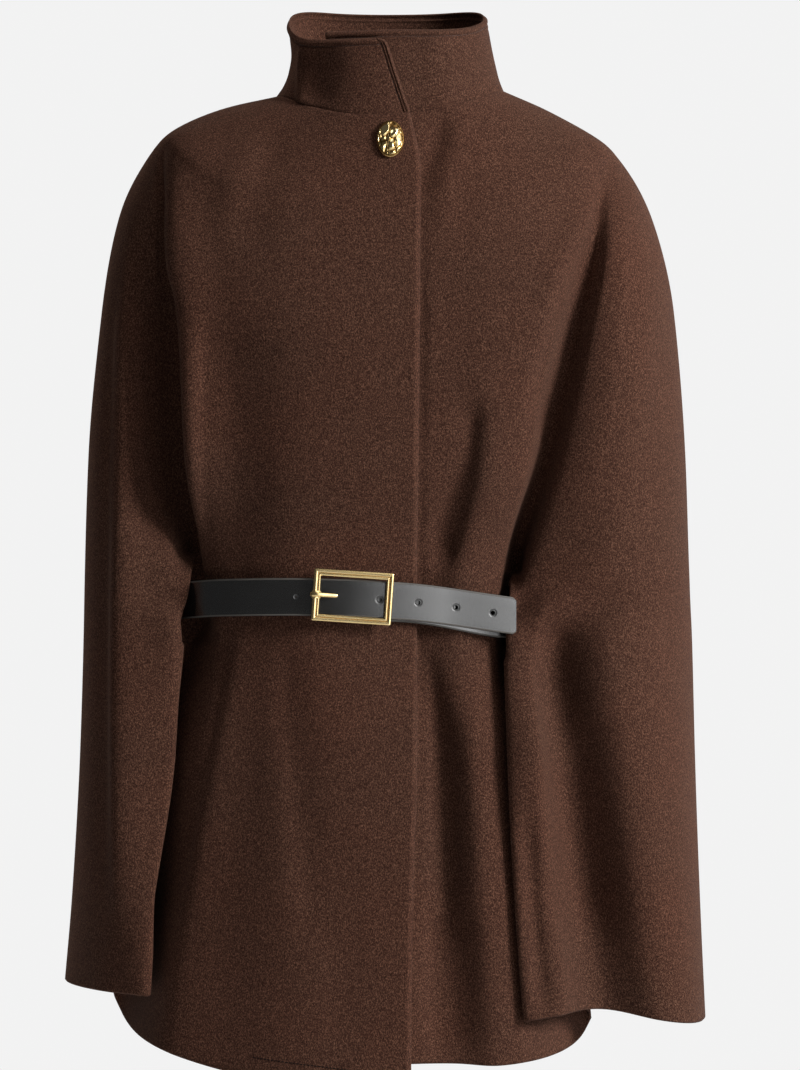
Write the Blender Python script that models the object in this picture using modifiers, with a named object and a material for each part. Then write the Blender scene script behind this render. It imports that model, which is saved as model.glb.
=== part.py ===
"""A belted cape coat in heavy wool, in the hollow form that it keeps when it is worn.

Tables and sizes are in millimetres. The origin lies midway between the two side neck points. +Z is up,
the front faces -Y, and +X is the coat's own left side. Two fronts drape from the neck over the arms to
a seam along the outside of each arm, where they meet the back. A leather belt lies over the two fronts,
goes in through an upright slit in each of them and round the back on the inside.
"""
import math

import bmesh
import bpy
import numpy as np
from mathutils import Matrix, Vector

MM = 0.001

# Cloth
WALL = 2.5
COLLAR_WALL = 2.7
SEAM_GAP = 0.3
UNDERLAP_X = -45.0
NECK_UNDERLAP_X = -60.0
UNDERLAP = 5.0
UNDERLAP_CENTRE = 0.1

# Belt: one strap, from its inner end at the buckle round the body to the tip that lies on top
BELT_WIDTH = 33.0
BELT_THICK = 3.0
BELT_CENTRE = (-14.0, -8.0)
BELT_HALF = (172.0, 107.0)
BELT_SQUARE = 2.4
BELT_TURN = math.radians(9.0)
BELT_EASE = 1.6
LAYER_STEP = 3.6
HOLES = ((-77.5, 2.6), (-7.5, 6.5), (25.0, 6.5), (56.5, 6.5), (84.5, 6.5))

# Slits for the belt, as depths below the neck point
SLIT = {"right": (408.0, 488.0), "left": (424.0, 502.0)}

# Where the two lips of each slit part from the valley line: x, y
SLIT_LIPS = {
    ("right", "body"): (10.0, 0.0),
    ("right", "arm"): (-4.0, -42.0),
    ("left", "body"): (-8.0, 2.0),
    ("left", "arm"): (-6.0, -47.0),
}

# Buckle and button
FRAME_SIZE = (69.5, 45.5)
FRAME_CENTRE = (-30.0, -445.0)
FRAME_TILT = math.radians(4.0)
BUTTON_SIZE = (24.6, 34.4)

# Collar, bottom to top: half widths and depths as parts of the neck ring, heights at the front of its
# right and left halves, over the two shoulders and at the back, and how far its slanted end has moved back
COLLAR_RINGS = (
    # part  right  left   front  back   height end
    (0.00, 1.000, 1.000, 1.000, 1.000, 0.000,  0.0),
    (0.12, 0.940, 0.965, 0.990, 0.985, 0.140,  2.4),
    (0.30, 0.895, 0.935, 0.975, 0.960, 0.325,  6.0),
    (0.55, 0.870, 0.900, 0.960, 0.945, 0.580, 11.5),
    (0.80, 0.885, 0.872, 0.950, 0.935, 0.823, 17.0),
    (0.94, 0.905, 0.860, 0.945, 0.930, 0.952, 20.5),
    (1.00, 0.915, 0.855, 0.945, 0.925, 1.000, 24.5),
)
COLLAR_TOP_RIGHT = 43.7
COLLAR_TOP_LEFT = 50.5
COLLAR_TOP_BACK = 85.0
COLLAR_RISE_RIGHT = (-75.0, 62.0)
COLLAR_RISE_LEFT = (-100.0, 62.0)
COLLAR_END_DROP = 0.05
COLLAR_END_LENGTH = 34.0
COLLAR_BLEND = 40.0

# Belt heights: angle round the coat in degrees, the second layer from 340 on, and height
BELT_HEIGHTS = (
    (-20, -447.5), (0, -450.5), (34, -465.5), (90, -462), (180, -448), (280, -449), (310, -446),
    (335, -445), (352, -446), (362, -449), (394, -463), (410, -468),
)
STRAP_START_X = -52.0
STRAP_STEPS = 100
TIP_X = 100.3
TIP_LIFT_X = 48.0
TIP_LIFT = 11.0
TIP_CORNER = 2.5
TIP_BOW = 1.6
CLIMB_START = 120.0
CLIMB_SPAN = 160.0

# Buckle frame profile: inset from the outer edge, height over the strap
FRAME_PROFILE = (
    (0.0, 0.0), (0.0, 2.2), (0.9, 3.3), (2.2, 3.3), (3.0, 2.1), (3.6, 2.1), (4.2, 2.7), (5.4, 2.4),
    (6.2, 1.2), (6.2, 0.0),
)
FRAME_GAP = 0.6
PRONG_RADIUS = 1.9
PRONG_PATH = (
    (-37.0, 2.4), (-36.0, 4.7), (-33.5, 5.6), (-29.5, 5.6), (-25.5, 4.4), (-20.0, 3.0), (-13.5, 2.4),
)

# Button outline: part of the radius, height
BUTTON_PROFILE = (
    (0.0, 6.4), (0.35, 6.2), (0.65, 5.3), (0.86, 3.9), (0.97, 2.4), (1.0, 1.4), (0.93, 0.6), (0.8, 0.0),
    (0.0, 0.0),
)
BUTTON_STAND = 0.4
BUTTON_PLACE = (0.49, 46.2)
BUTTON_STEPS = 28

# Rings of cloth from the neck seam to the hem. "down" is the depth of a ring at the centre front; the z
# columns are its heights over the right arm, over the left arm and at the centre back.
LEVELS = (
    # name         down  z_right z_left z_back x_right x_left y_front y_back y_side edge_x tilt
    ("neck",       22.5,     8,     2,    22,   -100,    104,    -85,    72,     0,  19.0, 0.05),
    ("collarbone", 75.0,    -6,   -16,   -14,   -150,    150,    -98,    88,     4,  28.0, 0.02),
    ("shoulder",  125.0,   -39,   -48,   -60,   -204,    204,   -110,   102,     8,  27.5, 0.00),
    ("upper_arm", 180.0,  -100,  -105,  -115,   -241,    237,   -121,   113,    12,  27.0, 0.00),
    ("chest",     240.0,  -190,  -188,  -190,   -258,    257,   -128,   121,    14,  26.5, 0.00),
    ("ribs",      330.0,  -320,  -315,  -320,   -270,    267,   -129,   127,    15,  25.5, 0.00),
    ("belt_top",  424.0,  -424,  -424,  -424,   -273,    271,   -116,   130,    15,  25.0, 0.00),
    ("belt_foot", 484.0,  -484,  -484,  -484,   -274,    274,   -116,   133,    15,  25.0, 0.00),
    ("hip",       580.0,  -580,  -580,  -580,   -277,    276,   -134,   143,    15,  24.5, 0.00),
    ("thigh",     720.0,  -715,  -718,  -708,   -285,    280,   -149,   158,    17,  20.5, 0.00),
    ("hem",       855.0,  -792,  -821,  -808,   -292,    284,   -160,   172,    20,  19.0, 0.00),
)
BELT_RINGS = (6, 7)
FOLD_START = 3

# Places of the arm folds on the rings above the upper arm, as angles from the centre front
FOLD_ANGLES = {
    "right": (
        # turn valley lap ridge
        (50, 54, 58, 66),
        (60, 64, 68, 77),
        (70, 74, 78, 84),
    ),
    "left": (
        # turn valley lap ridge trough outer
        (48, 53, 57, 62, 67, 74),
        (56, 61, 66, 70, 75, 81),
        (64, 69, 74, 78, 82, 86),
    ),
}

# Arm folds from the upper arm to the hem, one row a ring: the front panel turns in, runs back to the
# valley and comes out again to the lap, where the cloth over the arm starts
RIGHT_FOLDS = (
    # ring        turn_x turn_y valley_x valley_y lap_x lap_y ridge_x ridge_y
    ("upper_arm",  -192,   -82,    -190,     -62,  -206,  -62,   -224,    -46),
    ("chest",      -182,   -99,    -178,     -60,  -206,  -57,   -238,    -53),
    ("ribs",       -175,  -106,    -171,     -50,  -207,  -56,   -240,    -64),
    ("belt_top",   -161,   -80,    -170,     -46,  -188,  -84,   -240,    -76),
    ("belt_foot",  -147,   -94,    -182,     -46,  -180,  -94,   -240,    -82),
    ("hip",        -160,  -106,    -208,     -44,  -185,  -98,   -240,    -87),
    ("thigh",      -176,  -114,    -224,     -28,  -207, -106,   -242,    -91),
    ("hem",        -190,  -120,    -244,      -8,  -213, -111,   -243,    -93),
)
LEFT_FOLDS = (
    # ring           turn: x, y     valley: x, y  lap: x, y      ridge: x, y    trough: x, y    outer: x, y
    ("upper_arm",   168,   -94,     183,   -70,   194,  -76,     208,    -70,    218,    -58,    229,   -36),
    ("chest",       146,   -108,     163,   -74,   180,  -92,     202,    -93,    220,    -82,    240,   -54),
    ("ribs",        121,   -108,     138,   -70,   154,  -94,     182,   -102,    208,    -97,    240,   -72),
    ("belt_top",    100,    -76,     112,   -44,   122,  -84,     152,    -93,    192,    -96,    237,   -76),
    ("belt_foot",    94,    -80,     116,   -44,   103,  -93,     128,    -98,    147,    -80,    196,   -98),
    ("hip",          94,   -118,     150,   -62,   106, -128,     130,   -133,    156,    -97,    208,  -109),
    ("thigh",       105,   -135,     165,   -60,   114, -141,     134,   -138,    174,    -97,    224,  -113),
    ("hem",         112,   -143,     178,   -56,   122, -146,     146,   -139,    187,    -98,    236,  -111),
)

# The long pleat in the left front beside the front edge, one row a ring: place, depth, next crest
LEFT_PLEAT = (
    # ring         pleat_x depth crest_x
    ("neck",          30,   4.0,     50),
    ("collarbone",    44,   4.0,     78),
    ("shoulder",      48,   4.0,     90),
    ("upper_arm",     50,   4.0,     92),
    ("chest",         54,   4.5,     90),
    ("ribs",          54,  10.0,     78),
    ("belt_top",      42,  10.0,     64),
    ("belt_foot",     36,   9.0,     62),
    ("hip",           48,  19.0,     76),
    ("thigh",         54,  18.0,     84),
    ("hem",           60,  14.0,     94),
)

# Heights of the hem at each fold line
HEM_RIGHT = {"edge": -864, "centre": -864, "middle": -859, "dip": -851,
             "turn": -839, "valley": -806, "lap": -791, "ridge": -790}
HEM_LEFT = {"edge": -844, "centre": -844, "pleat": -845, "crest": -846,
            "turn": -845, "valley": -818, "lap": -808, "ridge": -805, "trough": -804, "outer": -812}

# Soft dip in the right front near its turn: depth at each ring
RIGHT_DIP = (0, 0, 0, 1, 2, 5, 5, 5, 4, 3, 2)

# Flutes of the back, from the right arm round to the left arm: angle from the centre front and depth at
# the hem (inward is positive); each grows from nothing at the shoulder
BACK_FLUTES = (
    (108, 0), (124, 12), (140, -7), (155, 7), (171, -6), (186, 6), (202, -7), (218, 8), (236, 11), (252, 0),
)
FLUTE_GROWTH = (0, 0, 0, 0.15, 0.35, 0.6, 0.7, 0.75, 0.85, 0.95, 1.0)

# How round the cloth passes a fold line: 1 is a soft wave, less is a crisper fold
SOFTNESS = {"turn": 0.75, "valley": 0.8, "lap": 0.8, "ridge": 0.7}

# Powers that set how square the rings are: along the plain front, down from the front to the arms, over
# the shoulders and round the back
FRONT_BOW = {"right": (2.4, 2.8, 3.2, 2.8, 2.5, 2.4, 2.4, 2.4, 2.4, 2.4, 2.4), "left": (2.4,) * 11}
SHOULDER_FORWARD = (0.0, 8.0, 18.0)
HEIGHT_BOW = 2.2
SHOULDER_BOW = 0.93
BACK_BOW = 0.85

# Plain lines of the right front, as parts of the way to its turn
CENTRE_PART = 0.2
MIDDLE_PART = 0.5
DIP_PART = 0.76

RIGHT_LINES = ("edge", "centre", "middle", "dip", "turn", "valley", "lap", "ridge", "side")
LEFT_LINES = ("side", "outer", "trough", "ridge", "lap", "valley", "turn", "crest", "pleat", "centre", "edge")


# Rows of points as depths, columns between fold lines, and the seam gap as a part of a column
ABOVE_SLIT = (22.8, 48, 75, 100, 125, 152, 180, 210, 240, 285, 330, 375)
BELOW_SLIT = (520, 550, 580, 627, 674, 720, 765, 810, 855)
SLIT_ROWS = 4
BODY_STEPS = 3
ARM_STEPS = 4
BACK_STEPS = 2
SEAM_SHIFT = 0.004


def hermite(start, end, start_slope, end_slope, t):
    """Cubic from start to end with the given slopes."""
    t2 = t * t
    t3 = t2 * t
    ends = start * (2 * t3 - 3 * t2 + 1) + end * (3 * t2 - 2 * t3)
    return ends + start_slope * (t3 - 2 * t2 + t) + end_slope * (t3 - t2)


def smooth(knots, values, at):
    """Smooth curve through the values, one for each knot, that doesn't swing past them."""
    knots, values, at = (np.asarray(item, float) for item in (knots, values, at))
    column = (-1,) + (1,) * (values.ndim - 1)
    step = np.diff(knots)
    rise = np.diff(values, axis=0) / step.reshape(column)
    before, after = rise[:-1], rise[1:]
    near = (2 * step[1:] + step[:-1]).reshape(column)
    far = (step[1:] + 2 * step[:-1]).reshape(column)
    turns = before * after <= 0
    product = np.where(turns, 1.0, before * after)
    mean = (near + far) * product / np.where(turns, 1.0, near * after + far * before)
    slope = np.concatenate((rise[:1], np.where(turns, 0.0, mean), rise[-1:]))
    i = np.clip(np.searchsorted(knots, at, side="right") - 1, 0, len(knots) - 2)
    length = step[i].reshape(column)
    t = ((at - knots[i]) / step[i]).reshape(column)
    return hermite(values[i], values[i + 1], slope[i] * length, slope[i + 1] * length, t)


def belt_loop(angle, out=0.0):
    """Point of the belt's path, out mm outside its inner face. Angle 0 is at the front, then to the left."""
    power = 2 / BELT_SQUARE
    along = math.copysign(abs(math.sin(angle)) ** power, math.sin(angle)) * (BELT_HALF[0] + out)
    across = -math.copysign(abs(math.cos(angle)) ** power, math.cos(angle)) * (BELT_HALF[1] + out)
    x = BELT_CENTRE[0] + along * math.cos(BELT_TURN) - across * math.sin(BELT_TURN)
    y = BELT_CENTRE[1] + along * math.sin(BELT_TURN) + across * math.cos(BELT_TURN)
    return x, y


def belt_angle(x):
    """Angle at which the front of the belt's path has this x."""
    low, high = math.radians(-85), math.radians(85)
    for _ in range(50):
        middle = (low + high) / 2
        if belt_loop(middle)[0] < x:
            low = middle
        else:
            high = middle
    return (low + high) / 2


def front_y(ring, x, turn):
    """Depth of the plain front of a ring at x, between the centre and where the panel turns in."""
    if ring in BELT_RINGS:
        return belt_loop(belt_angle(x))[1] + BELT_EASE
    y_front = LEVELS[ring][7]
    bow = FRONT_BOW["right" if turn[0] < 0 else "left"][ring]
    return y_front + (turn[1] - y_front) * abs(x / turn[0]) ** bow


def ring_height(ring, x):
    """Height of a ring in front of the arms, at x."""
    _, down, z_right, z_left, _, x_right, x_left, *_, tilt = LEVELS[ring]
    z_side, x_side = (z_right, x_right) if x < 0 else (z_left, x_left)
    return (z_side + down) * min(abs(x / x_side), 1) ** HEIGHT_BOW - down + tilt * x


def fold_places(ring, side):
    """The x, y places of the arm folds on one ring, from the centre outward."""
    table = RIGHT_FOLDS if side == "right" else LEFT_FOLDS
    if ring >= FOLD_START:
        row = table[ring - FOLD_START][1:]
        return [(row[i], row[i + 1]) for i in range(0, len(row), 2)]
    x_side = LEVELS[ring][5 if side == "right" else 6]
    y_front, y_side = LEVELS[ring][7], LEVELS[ring][9]
    places = []
    for angle in FOLD_ANGLES[side][ring]:
        turn = math.radians(angle)
        across, ahead = math.sin(turn) ** SHOULDER_BOW, math.cos(turn) ** SHOULDER_BOW
        forward = SHOULDER_FORWARD[ring] if side == "right" else 0.0
        places.append((x_side * across, y_side + (y_front - y_side) * ahead - forward))
    return places


def ring_points(ring):
    """All points of one ring: right front, back, left front, in the order of their lines."""
    _, _, z_right, z_left, z_back, x_right, x_left, _, y_back, y_side, edge_x, tilt = LEVELS[ring]
    last = ring == len(LEVELS) - 1

    def place(x, y, hem):
        return (x, y, hem if last else ring_height(ring, x))

    folds = fold_places(ring, "right")
    turn = folds[0]
    dip_x = turn[0] * DIP_PART
    centre_x = turn[0] * CENTRE_PART
    middle_x = turn[0] * MIDDLE_PART
    right = {
        "edge": (edge_x, front_y(ring, edge_x, turn)),
        "centre": (centre_x, front_y(ring, centre_x, turn)),
        "middle": (middle_x, front_y(ring, middle_x, turn)),
        "dip": (dip_x, front_y(ring, dip_x, turn) + RIGHT_DIP[ring]),
        **dict(zip(("turn", "valley", "lap", "ridge"), folds)),
    }
    points = [place(*right[name], HEM_RIGHT[name]) for name in RIGHT_LINES[:-1]]
    points.append((x_right, y_side, z_right + tilt * x_right))

    for angle, depth in BACK_FLUTES:
        turn_angle = math.radians(angle)
        sine, cosine = math.sin(turn_angle), -math.cos(turn_angle)
        x_side, z_side = (x_right, z_right) if sine > 0 else (x_left, z_left)
        across, back = abs(sine) ** BACK_BOW, cosine ** BACK_BOW
        depth_here = depth * FLUTE_GROWTH[ring]
        x = x_side * across
        y = y_side + (y_back - y_side) * back
        away = math.hypot(x, y - y_side)
        z = z_back + (z_side + tilt * x_side - z_back) * sine * sine
        points.append((x - x / away * depth_here, y - (y - y_side) / away * depth_here, z))
    points.append((x_left, y_side, z_left + tilt * x_left))

    folds = fold_places(ring, "left")
    turn = folds[0]
    _, pleat_x, pleat_depth, crest_x = LEFT_PLEAT[ring]
    centre_x = UNDERLAP_X * UNDERLAP_CENTRE
    edge_x = UNDERLAP_X if ring else NECK_UNDERLAP_X
    left = {
        "edge": (edge_x, front_y(ring, edge_x, turn) + UNDERLAP),
        "centre": (centre_x, front_y(ring, centre_x, turn) + UNDERLAP),
        "pleat": (pleat_x, front_y(ring, pleat_x, turn) + pleat_depth),
        "crest": (crest_x, front_y(ring, crest_x, turn)),
        **dict(zip(("turn", "valley", "lap", "ridge", "trough", "outer"), folds)),
    }
    points.extend(place(*left[name], HEM_LEFT[name]) for name in LEFT_LINES[1:])
    return points


KNOTS = [level[1] for level in LEVELS]
RINGS = np.array([ring_points(ring) for ring in range(len(LEVELS))], float)
LINES = [f"right_{name}" for name in RIGHT_LINES]
LINES += [f"back_{number}" for number in range(len(BACK_FLUTES))]
LINES += [f"left_{name}" for name in LEFT_LINES]
LINE = {name: number for number, name in enumerate(LINES)}
LINE_SOFTNESS = np.array([SOFTNESS.get(name.split("_")[1], 1.0) for name in LINES])


def cloth(lines, downs, lip="body"):
    """Outer points of the coat: a row for each depth, a column for each place between fold lines."""
    lines = np.asarray(lines, float)
    downs = np.asarray(downs, float)
    ring = smooth(KNOTS, RINGS, downs)
    for side, (top, foot) in SLIT.items():
        part = np.clip((downs - top) / (foot - top), 0, 1)
        opening = np.where((part > 0) & (part < 1), np.abs(np.sin(math.pi * part)) ** 0.4, 0.0)
        dx, dy = SLIT_LIPS[side, lip]
        ring[:, LINE[f"{side}_valley"], 0] += dx * opening
        ring[:, LINE[f"{side}_valley"], 1] += dy * opening
    chord = np.diff(ring, axis=1)
    length = np.linalg.norm(chord, axis=2, keepdims=True)
    unit = chord / length
    slope = unit[:, :-1] * length[:, 1:] + unit[:, 1:] * length[:, :-1]
    slope = slope / np.linalg.norm(slope, axis=2, keepdims=True)
    slope = np.concatenate((unit[:, :1], slope, unit[:, -1:]), axis=1)
    slope = slope * LINE_SOFTNESS[None, :, None]
    i = np.clip(lines.astype(int), 0, len(LINES) - 2)
    t = (lines - i)[None, :, None]
    return hermite(ring[:, i], ring[:, i + 1], slope[:, i] * length[:, i], slope[:, i + 1] * length[:, i], t)


def cloth_normals(lines, downs, lip="body"):
    """Outward unit normals of the coat at the same places."""
    step = 1e-3
    lines = np.asarray(lines, float)
    downs = np.asarray(downs, float)
    along = cloth(lines + step, downs, lip) - cloth(lines - step, downs, lip)
    down = cloth(lines, downs + 0.2, lip) - cloth(lines, downs - 0.2, lip)
    normal = np.cross(along, down)
    return normal / np.linalg.norm(normal, axis=2, keepdims=True)


def columns(first, last, per_line):
    """Places from one fold line to another, with so many columns between neighbours."""
    first, last = LINE[first], LINE[last]
    places = [first + np.arange(0, 1, 1 / per_line) + number for number in range(last - first)]
    return np.append(np.concatenate(places), last)


def wall(patches, thickness):
    """Closed wall from patches of outer points and normals, joined where their points agree."""
    places, outer, inner, faces = {}, [], [], []
    for points, normals in patches:
        index = []
        for row_points, row_normals in zip(points, normals):
            row = []
            for point, normal in zip(row_points, row_normals):
                key = tuple(np.round(point, 2))
                if key not in places:
                    places[key] = len(outer)
                    outer.append(point)
                    inner.append(point - normal * thickness)
                row.append(places[key])
            index.append(row)
        for upper, lower in zip(index, index[1:]):
            for a, b, c, d in zip(upper, upper[1:], lower[1:], lower):
                faces.append((a, b, c, d))
    count = len(outer)
    sides = {}
    for face in faces:
        for a, b in zip(face, face[1:] + face[:1]):
            sides[a, b] = True
    solid = list(faces)
    solid += [tuple(count + corner for corner in reversed(face)) for face in faces]
    solid += [(b, a, count + a, count + b) for a, b in sides if (b, a) not in sides]
    return np.array(outer + inner), solid


def material(name, colour, roughness, metallic):
    """Plain surface with one colour."""
    made = bpy.data.materials.new(name)
    made.use_nodes = True
    shader = made.node_tree.nodes["Principled BSDF"]
    shader.inputs["Base Color"].default_value = (*colour, 1.0)
    shader.inputs["Roughness"].default_value = roughness
    shader.inputs["Metallic"].default_value = metallic
    return made


def place_mesh(name, points, faces, finish, collection, smooth_angle=30.0):
    """Object from points in mm, joined and shaded smooth."""
    mesh = bpy.data.meshes.new(name)
    mesh.from_pydata([tuple(MM * value for value in point) for point in points], [], faces)
    mesh.materials.append(finish)
    mesh.shade_smooth()
    mesh.set_sharp_from_angle(angle=math.radians(smooth_angle))
    thing = bpy.data.objects.new(name, mesh)
    collection.objects.link(thing)
    return thing


def downs_of(side):
    """Depths of the rows of points, with the ends of the slit among them."""
    return np.concatenate((ABOVE_SLIT, np.linspace(*SLIT[side], SLIT_ROWS + 1), BELOW_SLIT))


def make_front(side, finish, collection):
    """One front, in two patches that part at the belt slit."""
    if side == "right":
        body = columns("right_edge", "right_valley", BODY_STEPS)
        arm = columns("right_valley", "right_side", ARM_STEPS)
        arm[-1] -= SEAM_SHIFT
    else:
        arm = columns("left_side", "left_valley", BODY_STEPS)
        body = columns("left_valley", "left_edge", BODY_STEPS)
        arm[0] += SEAM_SHIFT
    downs = downs_of(side)
    patches = [
        (cloth(body, downs, "body"), cloth_normals(body, downs, "body")),
        (cloth(arm, downs, "arm"), cloth_normals(arm, downs, "arm")),
    ]
    points, faces = wall(patches, WALL)
    return place_mesh(f"{side}_front", points, faces, finish, collection)


def make_back(finish, collection):
    """The back, from arm seam to arm seam."""
    places = columns("right_side", "left_side", BACK_STEPS)
    places[0] += SEAM_SHIFT
    places[-1] -= SEAM_SHIFT
    downs = downs_of("right")
    points, faces = wall([(cloth(places, downs), cloth_normals(places, downs))], WALL)
    return place_mesh("back", points, faces, finish, collection)


def grid_normals(points):
    """Unit normals of a grid of points, rows downward and columns clockwise from above."""
    down = np.gradient(points, axis=0)
    along = np.gradient(points, axis=1)
    normal = np.cross(along, down)
    return normal / np.linalg.norm(normal, axis=2, keepdims=True)


def make_collar(finish, collection):
    """Stand collar, open at the front, with its slanted right end over the left one."""
    seam = np.concatenate((
        columns("right_edge", "right_valley", BODY_STEPS), columns("right_valley", "right_side", ARM_STEPS)[1:],
        columns("right_side", "left_side", BACK_STEPS)[1:], columns("left_side", "left_valley", BODY_STEPS)[1:],
        columns("left_valley", "left_edge", BODY_STEPS)[1:]))
    rows = []
    for ring in reversed(COLLAR_RINGS):
        end = ring[-1] / COLLAR_END_LENGTH
        lines = np.where(seam < 1, end + (1 - end) * seam, seam)
        rows.append([collar_point(line, point, ring) for line, point in zip(lines, cloth(lines, KNOTS[:1])[0])])
    points = np.array(rows)
    points, faces = wall([(points, grid_normals(points))], COLLAR_WALL)
    return place_mesh("collar", points, faces, finish, collection)


def collar_point(line, neck, ring):
    """Outer point of one collar ring over a point of the neck seam."""
    _, right, left, front, back, height, _ = ring
    x, y, z = neck
    z += SEAM_GAP
    across = (right + left) / 2 + (left - right) / 2 * math.tanh(x / COLLAR_BLEND)
    on_right = line < LINE["back_4"] + 0.5
    start, end = COLLAR_RISE_RIGHT if on_right else COLLAR_RISE_LEFT
    rise = min(max((y - start) / (end - start), 0.0), 1.0)
    rise = rise * rise * (3 - 2 * rise)
    top = COLLAR_TOP_RIGHT if on_right else COLLAR_TOP_LEFT + COLLAR_END_DROP * min(x, 0.0)
    top += (COLLAR_TOP_BACK - top) * rise
    return (x * across, y * (front if y < 0 else back), z + (top - z) * height)


def belt_place(angle, out):
    """Point at a distance outside the belt's inner path, the direction outward, and the belt's height."""
    x, y = belt_loop(angle, out)
    ahead, behind = belt_loop(angle + 0.001, out), belt_loop(angle - 0.001, out)
    along = Vector((ahead[0] - behind[0], ahead[1] - behind[1], 0)).normalized()
    outward = Vector((along.y, -along.x, 0))
    knots, heights = zip(*BELT_HEIGHTS)
    height = float(smooth(knots, heights, [math.degrees(angle)])[0])
    return Vector((x, y, height)), outward


def strap_out(angle):
    """How far outside the inner path the strap lies: it climbs over its own inner end at the back."""
    climb = min(max((math.degrees(angle) - CLIMB_START) / CLIMB_SPAN, 0), 1)
    tip = max((angle - belt_angle(TIP_LIFT_X) - math.tau) / (belt_angle(TIP_X) - belt_angle(TIP_LIFT_X)), 0)
    return LAYER_STEP * climb * climb * (3 - 2 * climb) + TIP_LIFT * tip ** TIP_BOW


def make_strap(finish, collection, guides):
    """Leather strap, one and a half times over the front, with punched holes."""
    first, last = belt_angle(STRAP_START_X), belt_angle(TIP_X) + math.tau
    points, faces = [], []
    angles = np.linspace(first, last, STRAP_STEPS)
    for number, angle in enumerate(angles):
        half = BELT_WIDTH / 2 - (TIP_CORNER if number == STRAP_STEPS - 1 else 0)
        out = strap_out(angle)
        place, outward = belt_place(angle, out)
        for side, up in ((0, -half), (0, half), (1, half), (1, -half)):
            points.append(tuple(place + outward * BELT_THICK * side + Vector((0, 0, up))))
    for number in range(STRAP_STEPS - 1):
        base = 4 * number
        for corner in range(4):
            after = (corner + 1) % 4
            faces.append((base + corner, base + after, base + 4 + after, base + 4 + corner))
    top = 4 * (STRAP_STEPS - 1)
    faces.append((3, 2, 1, 0))
    faces.append((top, top + 1, top + 2, top + 3))
    strap = place_mesh("belt_strap", points, faces, finish, collection)
    for x, diameter in HOLES:
        angle = belt_angle(x) + math.tau
        place, outward = belt_place(angle, strap_out(angle) + BELT_THICK / 2)
        turn = outward.to_track_quat("Z", "Y").to_matrix().to_4x4()
        punch = bmesh.new()
        bmesh.ops.create_cone(punch, cap_ends=True, segments=16, radius1=MM * diameter / 2,
                              radius2=MM * diameter / 2, depth=MM * (BELT_THICK + 2 * SEAM_GAP),
                              matrix=Matrix.Translation(place * MM) @ turn)
        mesh = bpy.data.meshes.new("punch")
        punch.to_mesh(mesh)
        punch.free()
        cutter = bpy.data.objects.new("punch", mesh)
        cutter.hide_render = True
        cutter.display_type = "WIRE"
        guides.objects.link(cutter)
        cut = strap.modifiers.new("hole", "BOOLEAN")
        cut.operation = "DIFFERENCE"
        cut.object = cutter
    return strap


def frame_matrix():
    """Place of the buckle: its local x runs along the bar at the top, its z out from the belt."""
    angle = belt_angle(FRAME_CENTRE[0]) + math.tau
    place, outward = belt_place(angle, strap_out(angle) + BELT_THICK + FRAME_GAP)
    place.z = FRAME_CENTRE[1]
    upright = Matrix((Vector((-outward.y, outward.x, 0)), Vector((0, 0, 1)), outward)).transposed().to_4x4()
    return Matrix.Translation(place * MM) @ upright @ Matrix.Rotation(-FRAME_TILT, 4, "Z")


def make_frame(finish, collection):
    """Rectangular frame: one stepped profile carried round four mitred corners."""
    points, faces = [], []
    for sign_x, sign_y in ((-1, -1), (1, -1), (1, 1), (-1, 1)):
        for inset, height in FRAME_PROFILE:
            points.append((sign_x * (FRAME_SIZE[0] / 2 - inset), sign_y * (FRAME_SIZE[1] / 2 - inset), height))
    count = len(FRAME_PROFILE)
    for corner in range(4):
        here, there = corner * count, (corner + 1) % 4 * count
        for step in range(count):
            after = (step + 1) % count
            faces.append((here + step, there + step, there + after, here + after))
    frame = place_mesh("buckle_frame", points, faces, finish, collection, 20.0)
    frame.matrix_world = frame_matrix()
    return frame


def make_prong(finish, collection):
    """Round prong, over the left bar and down on to the strap."""
    path = bpy.data.curves.new("buckle_prong", "CURVE")
    path.dimensions = "3D"
    path.bevel_depth = MM * PRONG_RADIUS
    path.bevel_resolution = 2
    path.use_fill_caps = True
    spline = path.splines.new("POLY")
    spline.points.add(len(PRONG_PATH) - 1)
    for point, (along, height) in zip(spline.points, PRONG_PATH):
        point.co = (MM * along, 0, MM * height, 1)
    path.materials.append(finish)
    prong = bpy.data.objects.new("buckle_prong", path)
    prong.matrix_world = frame_matrix()
    collection.objects.link(prong)
    return prong


def make_button(finish, collection):
    """Oval domed button on the right front, just clear of the cloth."""
    mesh = bpy.data.meshes.new("button")
    radius = BUTTON_SIZE[0] / 2
    outline = [(MM * radius * across, 0, MM * height) for across, height in BUTTON_PROFILE]
    mesh.from_pydata(outline, [(i, i + 1) for i in range(len(outline) - 1)], [])
    mesh.materials.append(finish)
    button = bpy.data.objects.new("button", mesh)
    turn = button.modifiers.new("turn", "SCREW")
    turn.steps = turn.render_steps = BUTTON_STEPS
    turn.use_merge_vertices = True
    turn.merge_threshold = 0.00001
    line, down = BUTTON_PLACE
    place = Vector(cloth([line], [down])[0][0])
    outward = Vector(cloth_normals([line], [down])[0][0])
    place += outward * BUTTON_STAND
    face = outward.to_track_quat("Z", "Y").to_matrix().to_4x4()
    button.matrix_world = (Matrix.Translation(place * MM) @ face
                           @ Matrix.Diagonal((1, BUTTON_SIZE[1] / BUTTON_SIZE[0], 1, 1)))
    collection.objects.link(button)
    return button


for thing in list(bpy.data.objects):
    bpy.data.objects.remove(thing, do_unlink=True)
coat = bpy.data.collections.new("belted_cape_coat")
bpy.context.scene.collection.children.link(coat)

wool = material("brown_wool", (0.052, 0.028, 0.021), 0.9, 0.0)
make_front("right", wool, coat)
make_front("left", wool, coat)
make_back(wool, coat)
make_collar(wool, coat)

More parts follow.
